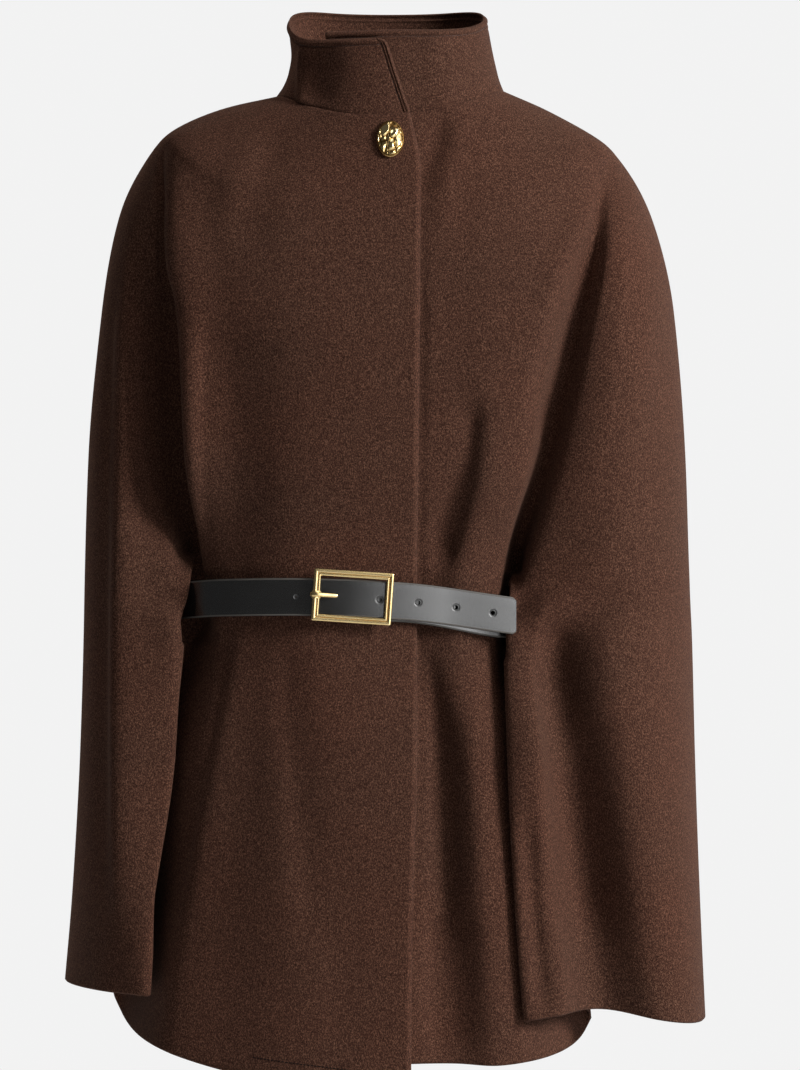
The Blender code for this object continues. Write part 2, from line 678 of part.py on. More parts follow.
guides = bpy.data.collections.new("punches")
bpy.context.scene.collection.children.link(guides)
make_strap(material("black_leather", (0.012, 0.012, 0.013), 0.42, 0.0), coat, guides)
gold = material("gold", (0.75, 0.55, 0.22), 0.22, 1.0)
make_frame(gold, coat)
make_prong(gold, coat)
make_button(gold, coat)
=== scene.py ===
import math
from collections import namedtuple

import bmesh
import bpy
import numpy as np
from mathutils import Matrix, Vector, noise


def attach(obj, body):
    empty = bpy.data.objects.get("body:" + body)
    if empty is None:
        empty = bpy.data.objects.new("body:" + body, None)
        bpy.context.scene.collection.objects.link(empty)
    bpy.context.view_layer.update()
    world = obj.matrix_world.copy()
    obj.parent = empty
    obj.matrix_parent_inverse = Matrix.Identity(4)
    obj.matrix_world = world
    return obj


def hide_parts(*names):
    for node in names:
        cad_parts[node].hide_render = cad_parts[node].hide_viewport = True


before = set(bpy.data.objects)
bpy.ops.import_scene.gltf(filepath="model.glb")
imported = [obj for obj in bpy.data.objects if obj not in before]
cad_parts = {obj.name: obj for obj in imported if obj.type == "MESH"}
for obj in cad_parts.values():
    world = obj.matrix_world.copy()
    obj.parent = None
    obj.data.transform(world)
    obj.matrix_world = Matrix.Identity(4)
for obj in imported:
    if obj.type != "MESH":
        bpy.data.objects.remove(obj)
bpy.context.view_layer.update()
MM = 0.001

# --------------------------------------
# Camera: level with the coat's middle and a little to its left, as far off as a tall portrait lens wants.
CAMERA_PLACE = (0.0108, -3.2, -0.3915)
CAMERA_LENS = 119.63
SENSOR_WIDTH = 36.0

camera_data = bpy.data.cameras.new("camera")
camera_data.lens = CAMERA_LENS
camera_data.sensor_width = SENSOR_WIDTH
camera = bpy.data.objects.new("camera", camera_data)
camera.location = CAMERA_PLACE
camera.rotation_euler = (math.pi / 2, 0, 0)
bpy.context.scene.collection.objects.link(camera)
bpy.context.scene.camera = camera

# --------------------------------------
# Right front: one big piece of heavy melton wool that hangs from the neck seam over the arm. The belt goes
# in through an upright slit in it, and above and below the slit the cloth folds back under the arm's drape.
WALL = 2.5
LEVEL_COLUMNS = "name down z_right z_left z_back x_right x_left y_front y_back y_side edge_x tilt"
LEVELS = (
    # one ring of the cloth in each row: how far down it lies, its heights, widths and depths in mm, where the
    # right front's edge crosses it, and its tilt
    ("neck",        22.5,    8,    2,   22, -100, 104,  -85,  72,  0, 19.0, 0.05),
    ("collarbone",  75.0,   -6,  -16,  -14, -150, 150,  -98,  88,  4, 28.0, 0.02),
    ("shoulder",   125.0,  -39,  -48,  -60, -204, 204, -110, 102,  8, 27.5, 0.00),
    ("upper_arm",  180.0, -100, -105, -115, -241, 237, -121, 113, 12, 27.0, 0.00),
    ("chest",      240.0, -190, -188, -190, -258, 257, -128, 121, 14, 26.5, 0.00),
    ("ribs",       330.0, -320, -315, -320, -270, 267, -129, 127, 15, 25.5, 0.00),
    ("belt_top",   424.0, -424, -424, -424, -273, 271, -116, 130, 15, 25.0, 0.00),
    ("belt_foot",  484.0, -484, -484, -484, -274, 274, -116, 133, 15, 25.0, 0.00),
    ("hip",        580.0, -580, -580, -580, -277, 276, -134, 143, 15, 24.5, 0.00),
    ("thigh",      720.0, -715, -718, -708, -285, 280, -149, 158, 17, 20.5, 0.00),
    ("hem",        855.0, -792, -821, -808, -292, 284, -160, 172, 20, 19.0, 0.00),
)
LEVELS = [namedtuple("Level", LEVEL_COLUMNS)(*row) for row in LEVELS]
BELT_RINGS = (6, 7)
FOLD_START = 3
FOLD_NAMES = ("turn", "valley", "lap", "ridge", "trough", "outer")
FOLD_ANGLES = {
    # degrees from the centre front to each fold, on the rings above those of the fold tables
    "right": (
        (50, 54, 58, 66),
        (60, 64, 68, 77),
        (70, 74, 78, 84),
    ),
    "left": (
        (48, 53, 57, 62, 67, 74),
        (56, 61, 66, 70, 75, 81),
        (64, 69, 74, 78, 82, 86),
    ),
}
RIGHT_FOLDS = (
    # ring, then x, y of the turn, valley, lap and ridge
    ("upper_arm", -192,  -82, -190, -62, -206,  -62, -224, -46),
    ("chest",     -182,  -99, -178, -60, -206,  -57, -238, -53),
    ("ribs",      -175, -106, -171, -50, -207,  -56, -240, -64),
    ("belt_top",  -161,  -80, -170, -46, -188,  -84, -240, -76),
    ("belt_foot", -147,  -94, -182, -46, -180,  -94, -240, -82),
    ("hip",       -160, -106, -208, -44, -185,  -98, -240, -87),
    ("thigh",     -176, -114, -224, -28, -207, -106, -242, -91),
    ("hem",       -190, -120, -244,  -8, -213, -111, -243, -93),
)
LEFT_FOLDS = (
    # ring, then x, y of the turn, valley, lap, ridge, trough and outer fold
    ("upper_arm", 168,  -94, 183, -70, 194,  -76, 208,  -70, 218, -58, 229,  -36),
    ("chest",     146, -108, 163, -74, 180,  -92, 202,  -93, 220, -82, 240,  -54),
    ("ribs",      121, -108, 138, -70, 154,  -94, 182, -102, 208, -97, 240,  -72),
    ("belt_top",  100,  -76, 112, -44, 122,  -84, 152,  -93, 192, -96, 237,  -76),
    ("belt_foot",  94,  -80, 116, -44, 103,  -93, 128,  -98, 147, -80, 196,  -98),
    ("hip",        94, -118, 150, -62, 106, -128, 130, -133, 156, -97, 208, -109),
    ("thigh",     105, -135, 165, -60, 114, -141, 134, -138, 174, -97, 224, -113),
    ("hem",       112, -143, 178, -56, 122, -146, 146, -139, 187, -98, 236, -111),
)
LEFT_PLEAT = (
    # ring, pleat_x, depth, crest_x
    ("neck",       30,  4.0, 50),
    ("collarbone", 44,  4.0, 78),
    ("shoulder",   48,  4.0, 90),
    ("upper_arm",  50,  4.0, 92),
    ("chest",      54,  4.5, 90),
    ("ribs",       54, 10.0, 78),
    ("belt_top",   42, 10.0, 64),
    ("belt_foot",  36,  9.0, 62),
    ("hip",        48, 19.0, 76),
    ("thigh",      54, 18.0, 84),
    ("hem",        60, 14.0, 94),
)
HEM_RIGHT = {"edge": -864, "centre": -864, "middle": -859, "dip": -851,
             "turn": -839, "valley": -806, "lap": -791, "ridge": -790}
HEM_LEFT = {"edge": -844, "centre": -844, "pleat": -845, "crest": -846,
            "turn": -845, "valley": -818, "lap": -808, "ridge": -805, "trough": -804, "outer": -812}
RIGHT_DIP = (0, 0, 0, 1, 2, 5, 5, 5, 4, 3, 2)
BACK_FLUTES = (
    # angle from the centre front, depth at the hem
    (108, 0), (124, 12), (140, -7), (155, 7), (171, -6), (186, 6), (202, -7), (218, 8), (236, 11), (252, 0),
)
FLUTE_GROWTH = (0, 0, 0, 0.15, 0.35, 0.6, 0.7, 0.75, 0.85, 0.95, 1.0)
SOFTNESS = {"turn": 0.75, "valley": 0.8, "lap": 0.8, "ridge": 0.7}
FRONT_BOW = {"right": (2.4, 2.8, 3.2, 2.8, 2.5, 2.4, 2.4, 2.4, 2.4, 2.4, 2.4), "left": (2.4,) * 11}
SHOULDER_FORWARD = (0.0, 8.0, 18.0)
HEIGHT_BOW = 2.2
SHOULDER_BOW = 0.93
BACK_BOW = 0.85
CENTRE_PART = 0.2
MIDDLE_PART = 0.5
DIP_PART = 0.76
UNDERLAP_X = -45.0
NECK_UNDERLAP_X = -60.0
UNDERLAP = 5.0
UNDERLAP_CENTRE = 0.1
SLIT_BOW = 0.4
SLIT = {"right": (408.0, 488.0), "left": (424.0, 502.0)}
SLIT_LIPS = {
    ("right", "body"): (10.0, 0.0),
    ("right", "arm"): (-4.0, -42.0),
    ("left", "body"): (-8.0, 2.0),
    ("left", "arm"): (-6.0, -47.0),
}
RIGHT_LINES = ("edge", "centre", "middle", "dip", "turn", "valley", "lap", "ridge", "side")
LEFT_LINES = ("side", "outer", "trough", "ridge", "lap", "valley", "turn", "crest", "pleat", "centre", "edge")

BELT_CENTRE = (-14.0, -8.0)
BELT_HALF = (172.0, 107.0)
BELT_SQUARE = 2.4
BELT_TURN = math.radians(9.0)
BELT_EASE = 1.6
BELT_FRONT = math.radians(85.0)     # the belt's front reaches this far round to either side
HALVINGS = 50


def hermite(start, end, start_slope, end_slope, t):
    """Cubic from start to end with the given slopes."""
    t2 = t * t
    t3 = t2 * t
    ends = start * (2 * t3 - 3 * t2 + 1) + end * (3 * t2 - 2 * t3)
    return ends + start_slope * (t3 - 2 * t2 + t) + end_slope * (t3 - t2)


def smooth(knots, values, at):
    """Smooth curve through the values, one for each knot, that doesn't swing past them."""
    knots, values, at = (np.asarray(item, float) for item in (knots, values, at))
    column = (-1,) + (1,) * (values.ndim - 1)
    step = np.diff(knots)
    rise = np.diff(values, axis=0) / step.reshape(column)
    before, after = rise[:-1], rise[1:]
    near = (2 * step[1:] + step[:-1]).reshape(column)
    far = (step[1:] + 2 * step[:-1]).reshape(column)
    turns = before * after <= 0
    product = np.where(turns, 1.0, before * after)
    mean = (near + far) * product / np.where(turns, 1.0, near * after + far * before)
    slope = np.concatenate((rise[:1], np.where(turns, 0.0, mean), rise[-1:]))
    i = np.clip(np.searchsorted(knots, at, side="right") - 1, 0, len(knots) - 2)
    length = step[i].reshape(column)
    t = ((at - knots[i]) / step[i]).reshape(column)
    return hermite(values[i], values[i + 1], slope[i] * length, slope[i + 1] * length, t)


def belt_loop(angle, out=0.0):
    """Point of the belt's path, out mm outside its inner face. Angle 0 is at the front, then to the left."""
    power = 2 / BELT_SQUARE
    along = math.copysign(abs(math.sin(angle)) ** power, math.sin(angle)) * (BELT_HALF[0] + out)
    across = -math.copysign(abs(math.cos(angle)) ** power, math.cos(angle)) * (BELT_HALF[1] + out)
    x = BELT_CENTRE[0] + along * math.cos(BELT_TURN) - across * math.sin(BELT_TURN)
    y = BELT_CENTRE[1] + along * math.sin(BELT_TURN) + across * math.cos(BELT_TURN)
    return x, y


def belt_angle(x):
    """Angle at which the front of the belt's path has this x."""
    low, high = -BELT_FRONT, BELT_FRONT
    for _ in range(HALVINGS):
        middle = (low + high) / 2
        if belt_loop(middle)[0] < x:
            low = middle
        else:
            high = middle
    return (low + high) / 2


def front_y(ring, x, turn):
    """Depth of the plain front of a ring at x, between the centre and where the panel turns in."""
    if ring in BELT_RINGS:
        return belt_loop(belt_angle(x))[1] + BELT_EASE
    y_front = LEVELS[ring].y_front
    bow = FRONT_BOW["right" if turn[0] < 0 else "left"][ring]
    return y_front + (turn[1] - y_front) * abs(x / turn[0]) ** bow


def ring_height(ring, x):
    """Height of a ring in front of the arms, at x."""
    level = LEVELS[ring]
    z_side, x_side = (level.z_right, level.x_right) if x < 0 else (level.z_left, level.x_left)
    return (z_side + level.down) * min(abs(x / x_side), 1) ** HEIGHT_BOW - level.down + level.tilt * x


def fold_places(ring, side):
    """The x, y places of the arm folds on one ring, from the centre outward."""
    table = RIGHT_FOLDS if side == "right" else LEFT_FOLDS
    if ring >= FOLD_START:
        row = table[ring - FOLD_START][1:]
        return [(row[i], row[i + 1]) for i in range(0, len(row), 2)]
    level = LEVELS[ring]
    x_side, forward = (level.x_right, SHOULDER_FORWARD[ring]) if side == "right" else (level.x_left, 0.0)
    places = []
    for angle in FOLD_ANGLES[side][ring]:
        turn = math.radians(angle)
        across, ahead = math.sin(turn) ** SHOULDER_BOW, math.cos(turn) ** SHOULDER_BOW
        places.append((x_side * across, level.y_side + (level.y_front - level.y_side) * ahead - forward))
    return places


def front_points(ring, side):
    """Points of one front on a ring, in the order of its lines but without its side seam."""
    folds = fold_places(ring, side)
    turn = folds[0]
    if side == "right":
        names, hem = RIGHT_LINES[:-1], HEM_RIGHT
        plain = (("edge", LEVELS[ring].edge_x, 0), ("centre", turn[0] * CENTRE_PART, 0),
                 ("middle", turn[0] * MIDDLE_PART, 0), ("dip", turn[0] * DIP_PART, RIGHT_DIP[ring]))
    else:
        names, hem = LEFT_LINES[1:], HEM_LEFT
        _, pleat_x, pleat_depth, crest_x = LEFT_PLEAT[ring]
        plain = (("edge", UNDERLAP_X if ring else NECK_UNDERLAP_X, UNDERLAP),
                 ("centre", UNDERLAP_X * UNDERLAP_CENTRE, UNDERLAP),
                 ("pleat", pleat_x, pleat_depth), ("crest", crest_x, 0))
    places = {name: (x, front_y(ring, x, turn) + behind) for name, x, behind in plain}
    places.update(zip(FOLD_NAMES, folds))
    last = ring == len(LEVELS) - 1
    return [(*places[name], hem[name] if last else ring_height(ring, places[name][0])) for name in names]


def ring_points(ring):
    """All points of one ring: right front, back, left front, in the order of their lines."""
    _, _, z_right, z_left, z_back, x_right, x_left, _, y_back, y_side, _, tilt = LEVELS[ring]
    points = front_points(ring, "right")
    points.append((x_right, y_side, z_right + tilt * x_right))
    for angle, depth in BACK_FLUTES:
        turn = math.radians(angle)
        sine, cosine = math.sin(turn), -math.cos(turn)
        x_side, z_side = (x_right, z_right) if sine > 0 else (x_left, z_left)
        x = x_side * abs(sine) ** BACK_BOW
        y = y_side + (y_back - y_side) * cosine ** BACK_BOW
        z = z_back + (z_side + tilt * x_side - z_back) * sine * sine
        away, depth_here = math.hypot(x, y - y_side), depth * FLUTE_GROWTH[ring]
        points.append((x - x / away * depth_here, y - (y - y_side) / away * depth_here, z))
    points.append((x_left, y_side, z_left + tilt * x_left))
    return points + front_points(ring, "left")


KNOTS = [level.down for level in LEVELS]
RINGS = np.array([ring_points(ring) for ring in range(len(LEVELS))], float)
LINES = [f"right_{name}" for name in RIGHT_LINES]
LINES += [f"back_{number}" for number in range(len(BACK_FLUTES))]
LINES += [f"left_{name}" for name in LEFT_LINES]
LINE = {name: number for number, name in enumerate(LINES)}
LINE_SOFTNESS = np.array([SOFTNESS.get(name.split("_")[1], 1.0) for name in LINES])


def unit_vectors(vectors):
    """The vectors of an array at length one."""
    return vectors / np.linalg.norm(vectors, axis=-1, keepdims=True)


def cloth(lines, downs, lip="body"):
    """Outer points of the coat: a row for each depth, a column for each place between fold lines."""
    lines, downs = np.asarray(lines, float), np.asarray(downs, float)
    ring = smooth(KNOTS, RINGS, downs)
    for side, (top, foot) in SLIT.items():
        part = np.clip((downs - top) / (foot - top), 0, 1)
        opening = np.where((part > 0) & (part < 1), np.abs(np.sin(math.pi * part)) ** SLIT_BOW, 0.0)
        ring[:, LINE[f"{side}_valley"], :2] += opening[:, None] * SLIT_LIPS[side, lip]
    chord = np.diff(ring, axis=1)
    length = np.linalg.norm(chord, axis=2, keepdims=True)
    unit = chord / length
    slope = unit_vectors(unit[:, :-1] * length[:, 1:] + unit[:, 1:] * length[:, :-1])
    slope = np.concatenate((unit[:, :1], slope, unit[:, -1:]), axis=1) * LINE_SOFTNESS[None, :, None]
    i = np.clip(lines.astype(int), 0, len(LINES) - 2)
    t = (lines - i)[None, :, None]
    return hermite(ring[:, i], ring[:, i + 1], slope[:, i] * length[:, i], slope[:, i + 1] * length[:, i], t)


LINE_REACH = 1e-3
DOWN_REACH = 0.2


def cloth_normals(lines, downs, lip="body"):
    """Outward unit normals of the coat at the same places."""
    lines, downs = np.asarray(lines, float), np.asarray(downs, float)
    along = cloth(lines + LINE_REACH, downs, lip) - cloth(lines - LINE_REACH, downs, lip)
    down = cloth(lines, downs + DOWN_REACH, lip) - cloth(lines, downs - DOWN_REACH, lip)
    return unit_vectors(np.cross(along, down))


GAUGE_DOWNS = (200.0, 450.0, 800.0)
SAMPLES_PER_LINE = 40
NECK_DOWN = 22.8
HEM_DOWN = 855.0
STEP = 3.2
SEAM_SHIFT = 0.004


def lengths_along(points):
    """Distance along a path to each of its points, or the mean one along the rows of a grid."""
    steps = np.linalg.norm(np.diff(points, axis=-2), axis=-1)
    steps = steps.mean(axis=0) if steps.ndim > 1 else steps
    return np.concatenate(([0.0], np.cumsum(steps)))


def even_columns(first, last, step):
    """Places from one fold line to another that lie about step mm apart on the cloth."""
    lines = np.linspace(LINE[first], LINE[last], SAMPLES_PER_LINE * (LINE[last] - LINE[first]) + 1)
    along = lengths_along(cloth(lines, GAUGE_DOWNS))
    count = max(math.ceil(along[-1] / step), 2)
    return np.interp(np.linspace(0, along[-1], count + 1), along, lines)


def even_downs(side, step):
    """Depths of the rows of points, about step mm apart, with the ends of the slit among them."""
    top, foot = SLIT[side]
    parts = [np.linspace(start, end, round((end - start) / step) + 1)[:-1]
             for start, end in ((NECK_DOWN, top), (top, foot), (foot, HEM_DOWN))]
    return np.append(np.concatenate(parts), HEM_DOWN)


CREASE_SAMPLES = 90
CREASE_FADE = 0.22


def ease(part):
    """Soft step from 0 to 1."""
    return part * part * (3 - 2 * part)


def crease_depth(points, creases):
    """How far each x, z point is pressed in by creases: depth, width on the coat's left and right, path."""
    total = np.zeros(points.shape[:-1])
    for depth, left_width, right_width, path in creases:
        path = np.array(path, float)
        knots = lengths_along(path)
        fine = smooth(knots, path, np.linspace(0, knots[-1], CREASE_SAMPLES))
        part = np.linspace(0, 1, CREASE_SAMPLES)
        strength = ease(np.clip(np.minimum(part, 1 - part) / CREASE_FADE, 0, 1))
        near = np.linalg.norm(points[..., None, :] - fine, axis=-1)
        nearest = near.argmin(axis=-1)
        ahead = unit_vectors(np.gradient(fine, axis=0))[nearest]
        offset = points - fine[nearest]
        side = ahead[..., 0] * offset[..., 1] - ahead[..., 1] * offset[..., 0]
        beyond = (nearest == 0) | (nearest == CREASE_SAMPLES - 1)
        width = np.where(side > 0, left_width, right_width)
        distance = np.where(beyond, near.min(axis=-1), np.abs(side)) / width
        total += depth * strength[nearest] * np.exp(-distance * distance)
    return total


SAME_PLACE = 50     # points that round to the same 1/50 mm are one point
TINY = 1e-9
RIM_ROLL = 0.5


def shell(name, patches, thickness, material):
    """Closed wall of cloth from patches of base points, outer points and normals, with a rounded rim."""
    places, outer, inner, faces = {}, [], [], []
    for base, shaped, normals in patches:
        keys = np.round(base * SAME_PLACE).astype(np.int64)
        index = np.empty(base.shape[:2], int)
        for row, column in np.ndindex(index.shape):
            key = tuple(keys[row, column].tolist())
            if key not in places:
                places[key] = len(outer)
                outer.append(shaped[row, column])
                inner.append(shaped[row, column] - normals[row, column] * thickness)
            index[row, column] = places[key]
        block = np.stack((index[:-1, :-1], index[:-1, 1:], index[1:, 1:], index[1:, :-1]), axis=-1)
        faces.extend(block.reshape(-1, 4).tolist())
    outer, inner = np.array(outer), np.array(inner)
    count = len(outer)
    sides = set()
    for a, b, c, d in faces:
        sides.update(((a, b), (b, c), (c, d), (d, a)))
    rim = [(a, b) for a, b in sides if (b, a) not in sides and a != b]
    away = {}
    for a, b in rim:
        out = np.cross(outer[b] - outer[a], outer[a] - inner[a])
        size = np.linalg.norm(out)
        if size > TINY:
            for corner in (a, b):
                away[corner] = away.get(corner, 0.0) + out / size
    middle, extra = {}, []
    for corner, out in away.items():
        size = np.linalg.norm(out)
        out = out / size if size > TINY else out
        middle[corner] = 2 * count + len(extra)
        extra.append((outer[corner] + inner[corner]) / 2 + out * thickness * RIM_ROLL)
    solid = [face for face in faces if len(set(face)) == 4]
    solid += [tuple(count + corner for corner in reversed(face)) for face in solid]
    for a, b in rim:
        if a in middle and b in middle:
            solid.append((b, a, middle[a], middle[b]))
            solid.append((middle[b], middle[a], count + a, count + b))
    return place_mesh(name, np.concatenate((outer, inner, np.array(extra))), solid, material)


def place_mesh(name, points, faces, material, sharp=None):
    """Smooth-shaded object from points in mm, with edges kept sharp from an angle on where one is given."""
    mesh = bpy.data.meshes.new(name)
    mesh.from_pydata((np.asarray(points) * MM).tolist(), [], faces)
    mesh.validate()
    mesh.shade_smooth()
    if sharp is not None:
        mesh.set_sharp_from_angle(angle=math.radians(sharp))
    mesh.materials.append(material)
    piece = bpy.data.objects.new(name, mesh)
    bpy.context.scene.collection.objects.link(piece)
    return piece


class Shade:
    """One value in a material's nodes, on which Python's operators add Math nodes."""

    def __init__(self, tree, socket=None):
        self.tree = tree
        self.socket = socket

    def node(self, kind, settings=None, sockets=None, out=0):
        made = self.tree.nodes.new(kind)
        for name, value in (settings or {}).items():
            if name == "stops":
                ramp = made.color_ramp.elements
                while len(ramp) < len(value):
                    ramp.new(1.0)
                for stop, (place, colour) in zip(ramp, value):
                    stop.position = place
                    stop.color = (*colour, 1.0)
            else:
                setattr(made, name, value)
        for name, value in (sockets or {}).items():
            if isinstance(value, Shade):
                self.tree.links.new(value.socket, made.inputs[name])
            else:
                made.inputs[name].default_value = value
        return Shade(self.tree, made.outputs[out])

    def math(self, operation, *values):
        return self.node("ShaderNodeMath", {"operation": operation}, dict(enumerate(values)))

    def __add__(self, other):
        return self.math("ADD", self, other)

    def __sub__(self, other):
        return self.math("SUBTRACT", self, other)

    def __rsub__(self, other):
        return self.math("SUBTRACT", other, self)

    def __mul__(self, other):
        return self.math("MULTIPLY", self, other)

    __radd__ = __add__
    __rmul__ = __mul__


def begin_material(name):
    """New material, and a Shade on its nodes to start from."""
    made = bpy.data.materials.new(name)
    made.use_nodes = True
    return made, Shade(made.node_tree)


def surface(made, sockets):
    """Set or link the sockets of a material's shader."""
    shader = made.node_tree.nodes["Principled BSDF"]
    for name, value in sockets.items():
        if isinstance(value, Shade):
            made.node_tree.links.new(value.socket, shader.inputs[name])
        else:
            shader.inputs[name].default_value = value


def grain_noise(start, scale, detail=2.0, rough=0.5):
    """Noise at the places that start stands for, or over the piece's own box where it stands for none."""
    at = {"Vector": start} if start.socket else {}
    return start.node("ShaderNodeTexNoise", sockets={
        **at, "Scale": scale, "Detail": detail, "Roughness": rough})


def blend(factor, first, second, kind="MIX"):
    """Mix of two colours."""
    start = factor if isinstance(factor, Shade) else first
    return start.node("ShaderNodeMix", {"data_type": "RGBA", "blend_type": kind},
                      {"Factor": factor, "A": first, "B": second}, out=2)


def raised(height, strength, distance, over=None):
    """Normal that is bumped by a height, on top of another such normal where one is given."""
    under = {"Normal": over} if over else {}
    return height.node("ShaderNodeBump", sockets={
        "Height": height, "Strength": strength, "Distance": distance, **under})


WOOL_DARK = (0.014, 0.0062, 0.0040)
WOOL_MID = (0.057, 0.0232, 0.0145)
WOOL_LIGHT = (0.190, 0.097, 0.061)
WOOL_WARM = (1.10, 0.96, 0.92, 1.0)
WOOL_COOL = (0.94, 1.02, 1.05, 1.0)
NAP_LIE = (1.0, 1.0, 0.62)
FIBRE_SCALE = 1900.0
TUFT_SCALE = 980.0
TONE_SCALE = 9.0
NAP_HEIGHT = 0.0010

wool, nap = begin_material("melton_wool")
where = nap.node("ShaderNodeTexCoord", out=3)
combed = nap.node("ShaderNodeMapping", sockets={"Vector": where, "Scale": NAP_LIE})
grain = grain_noise(combed, FIBRE_SCALE, rough=0.7) * 0.5 + grain_noise(combed, TUFT_SCALE, rough=0.6) * 0.5
colour = nap.node("ShaderNodeValToRGB", {"stops": (
    (0.36, WOOL_DARK), (0.50, WOOL_MID), (0.65, WOOL_LIGHT),
)}, {"Fac": grain})
tone = blend(grain_noise(where, TONE_SCALE, 3.0), WOOL_WARM, WOOL_COOL)
surface(wool, {"Base Color": blend(1.0, colour, tone, "MULTIPLY"), "Roughness": 0.92,
               "Normal": raised(grain, 0.7, NAP_HEIGHT), "Sheen Weight": 0.06, "Sheen Roughness": 0.45,
               "Sheen Tint": (0.62, 0.42, 0.32, 1.0), "Specular IOR Level": 0.12})

RIGHT_CREASES = (
    # part, depth, widths on the coat's left and right of it, path of x, z going down
    ("both", -4.0, 50, 14, ((-198, -38), (-196, -57), (-193, -79), (-191, -105), (-187, -144),
     (-183, -187))),
    ("body", 1.6, 14, 18, ((-91, -29), (-104, -66), (-113, -112), (-118, -153))),
    ("body", -1.6, 14, 16, ((-109, -24), (-128, -66), (-140, -105), (-150, -154))),
    ("body", 6.0, 70, 10, ((-154, -187), (-158, -274), (-159, -344), (-158, -427))),
    ("body", 3.5, 22, 13, ((-85, -464), (-86, -518), (-81, -587), (-71, -674), (-60, -761))),
    ("body", 3.0, 60, 14, ((-132, -464), (-146, -535), (-161, -622), (-177, -709), (-189, -804))),
    ("body", 5.0, 10, 15, ((-139, -445), (-149, -509), (-160, -570), (-171, -622), (-181, -674),
     (-189, -735))),
    ("body", 2.0, 30, 20, ((-33, -639), (-36, -709), (-38, -796), (-38, -853))),
    ("arm", 3.0, 14, 20, ((-180, -483), (-187, -535), (-195, -604), (-205, -691), (-210, -761))),
    ("arm", -10.0, 20, 8, ((-222, -97), (-229, -170), (-233, -226), (-234, -300), (-235, -396),
     (-235, -535), (-234, -657), (-236, -778))),
    ("arm", 3.0, 9, 12, ((-233, -126), (-242, -187), (-246, -239), (-248, -318), (-250, -448),
     (-251, -587), (-252, -726))),
    ("arm", 12.0, 13, 22, ((-198, -83), (-190, -179), (-184, -265), (-180, -335), (-175, -405))),
)

EDGE_COLUMNS = (0.4, 0.9, 1.5, 2.2, 3.0, 3.9)
EDGE_ROLL = 2.6
EDGE_ROLL_WIDTH = 3.8


def with_edge(lines):
    """The columns with finer ones at the front edge, and how far each lies from that edge."""
    at_start = lines[0] == 0
    along = lengths_along(cloth(lines, GAUGE_DOWNS))
    along = along if at_start else along[-1] - along
    order = np.argsort(along)
    away = np.sort(np.append(along, EDGE_COLUMNS))
    extra = np.interp(away, along[order], lines[order])
    return (extra, away) if at_start else (extra[::-1], away[::-1])


def front_patches(side, body_ends, arm_ends, creases):
    """Body and arm patches of one front, with its creases pressed in and its front edge rolled."""
    downs = even_downs(side, STEP)
    patches = []
    for lip, ends in (("body", body_ends), ("arm", arm_ends)):
        lines = even_columns(*ends, STEP)
        away = np.full(len(lines), EDGE_ROLL_WIDTH)
        if lip == "body":
            lines, away = with_edge(lines)
        if ends[1] == "right_side":
            lines[-1] -= SEAM_SHIFT
        if ends[0] == "left_side":
            lines[0] += SEAM_SHIFT
        base = cloth(lines, downs, lip)
        normals = cloth_normals(lines, downs, lip)
        pressed_here = [crease[1:] for crease in creases if crease[0] in (lip, "both")]
        depth = crease_depth(base[..., (0, 2)], pressed_here)
        depth = depth + EDGE_ROLL * np.clip(1 - away / EDGE_ROLL_WIDTH, 0, 1) ** 2
        patches.append((base, base - normals * depth[..., None], normals))
    return patches


right_patches = front_patches(
    "right", ("right_edge", "right_valley"), ("right_valley", "right_side"), RIGHT_CREASES)
right_front = shell("right_front_wool", right_patches, WALL, wool)
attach(right_front, "root")
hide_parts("right_front")

# --------------------------------------
# Left front: the mirror piece in the same wool, whose edge lies 45 mm under the right one. It is taken in
# by the belt into a long soft pleat, and over the arm it hangs in a wide drape with a rolled hem.
LEFT_CREASES = (
    # part, depth, widths on the coat's left and right of it, path of x, z going down
    ("body", 2.2, 4, 5, ((32, -38), (31, -100), (30, -187), (29, -318), (28, -457), (28, -568),
     (25, -674), (23, -761), (22, -839))),
    ("body", 3.0, 8, 10, ((52, -13), (43, -46), (32, -80), (28, -105))),
    ("body", -2.0, 10, 9, ((68, -22), (59, -53), (51, -92), (46, -135))),
    ("body", 7.0, 10, 13, ((75, -261), (72, -309), (65, -352), (54, -392), (46, -432))),
    ("body", 5.0, 9, 12, ((25, -464), (38, -526), (47, -587), (52, -665), (52, -761))),
    ("body", 5.0, 40, 10, ((40, -709), (44, -778), (46, -853))),
    ("body", 6.0, 12, 10, ((178, -113), (157, -187), (139, -250), (129, -318))),
    ("body", 2.0, 12, 12, ((170, -83), (154, -118), (132, -161), (113, -205))),
    ("arm", 8.0, 20, 18, ((119, -453), (134, -500), (148, -552), (163, -622), (176, -691), (186, -770))),
    ("arm", -5.0, 28, 24, ((155, -436), (165, -483), (174, -526), (185, -574))),
    ("arm", 5.0, 9, 8, ((120, -622), (125, -691), (131, -752), (137, -815))),
    ("arm", -3.0, 9, 9, ((138, -709), (146, -761), (152, -811))),
)

left_front = shell("left_front_wool", front_patches(
    "left", ("left_valley", "left_edge"), ("left_side", "left_valley"), LEFT_CREASES), WALL, wool)
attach(left_front, "root")
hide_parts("left_front")

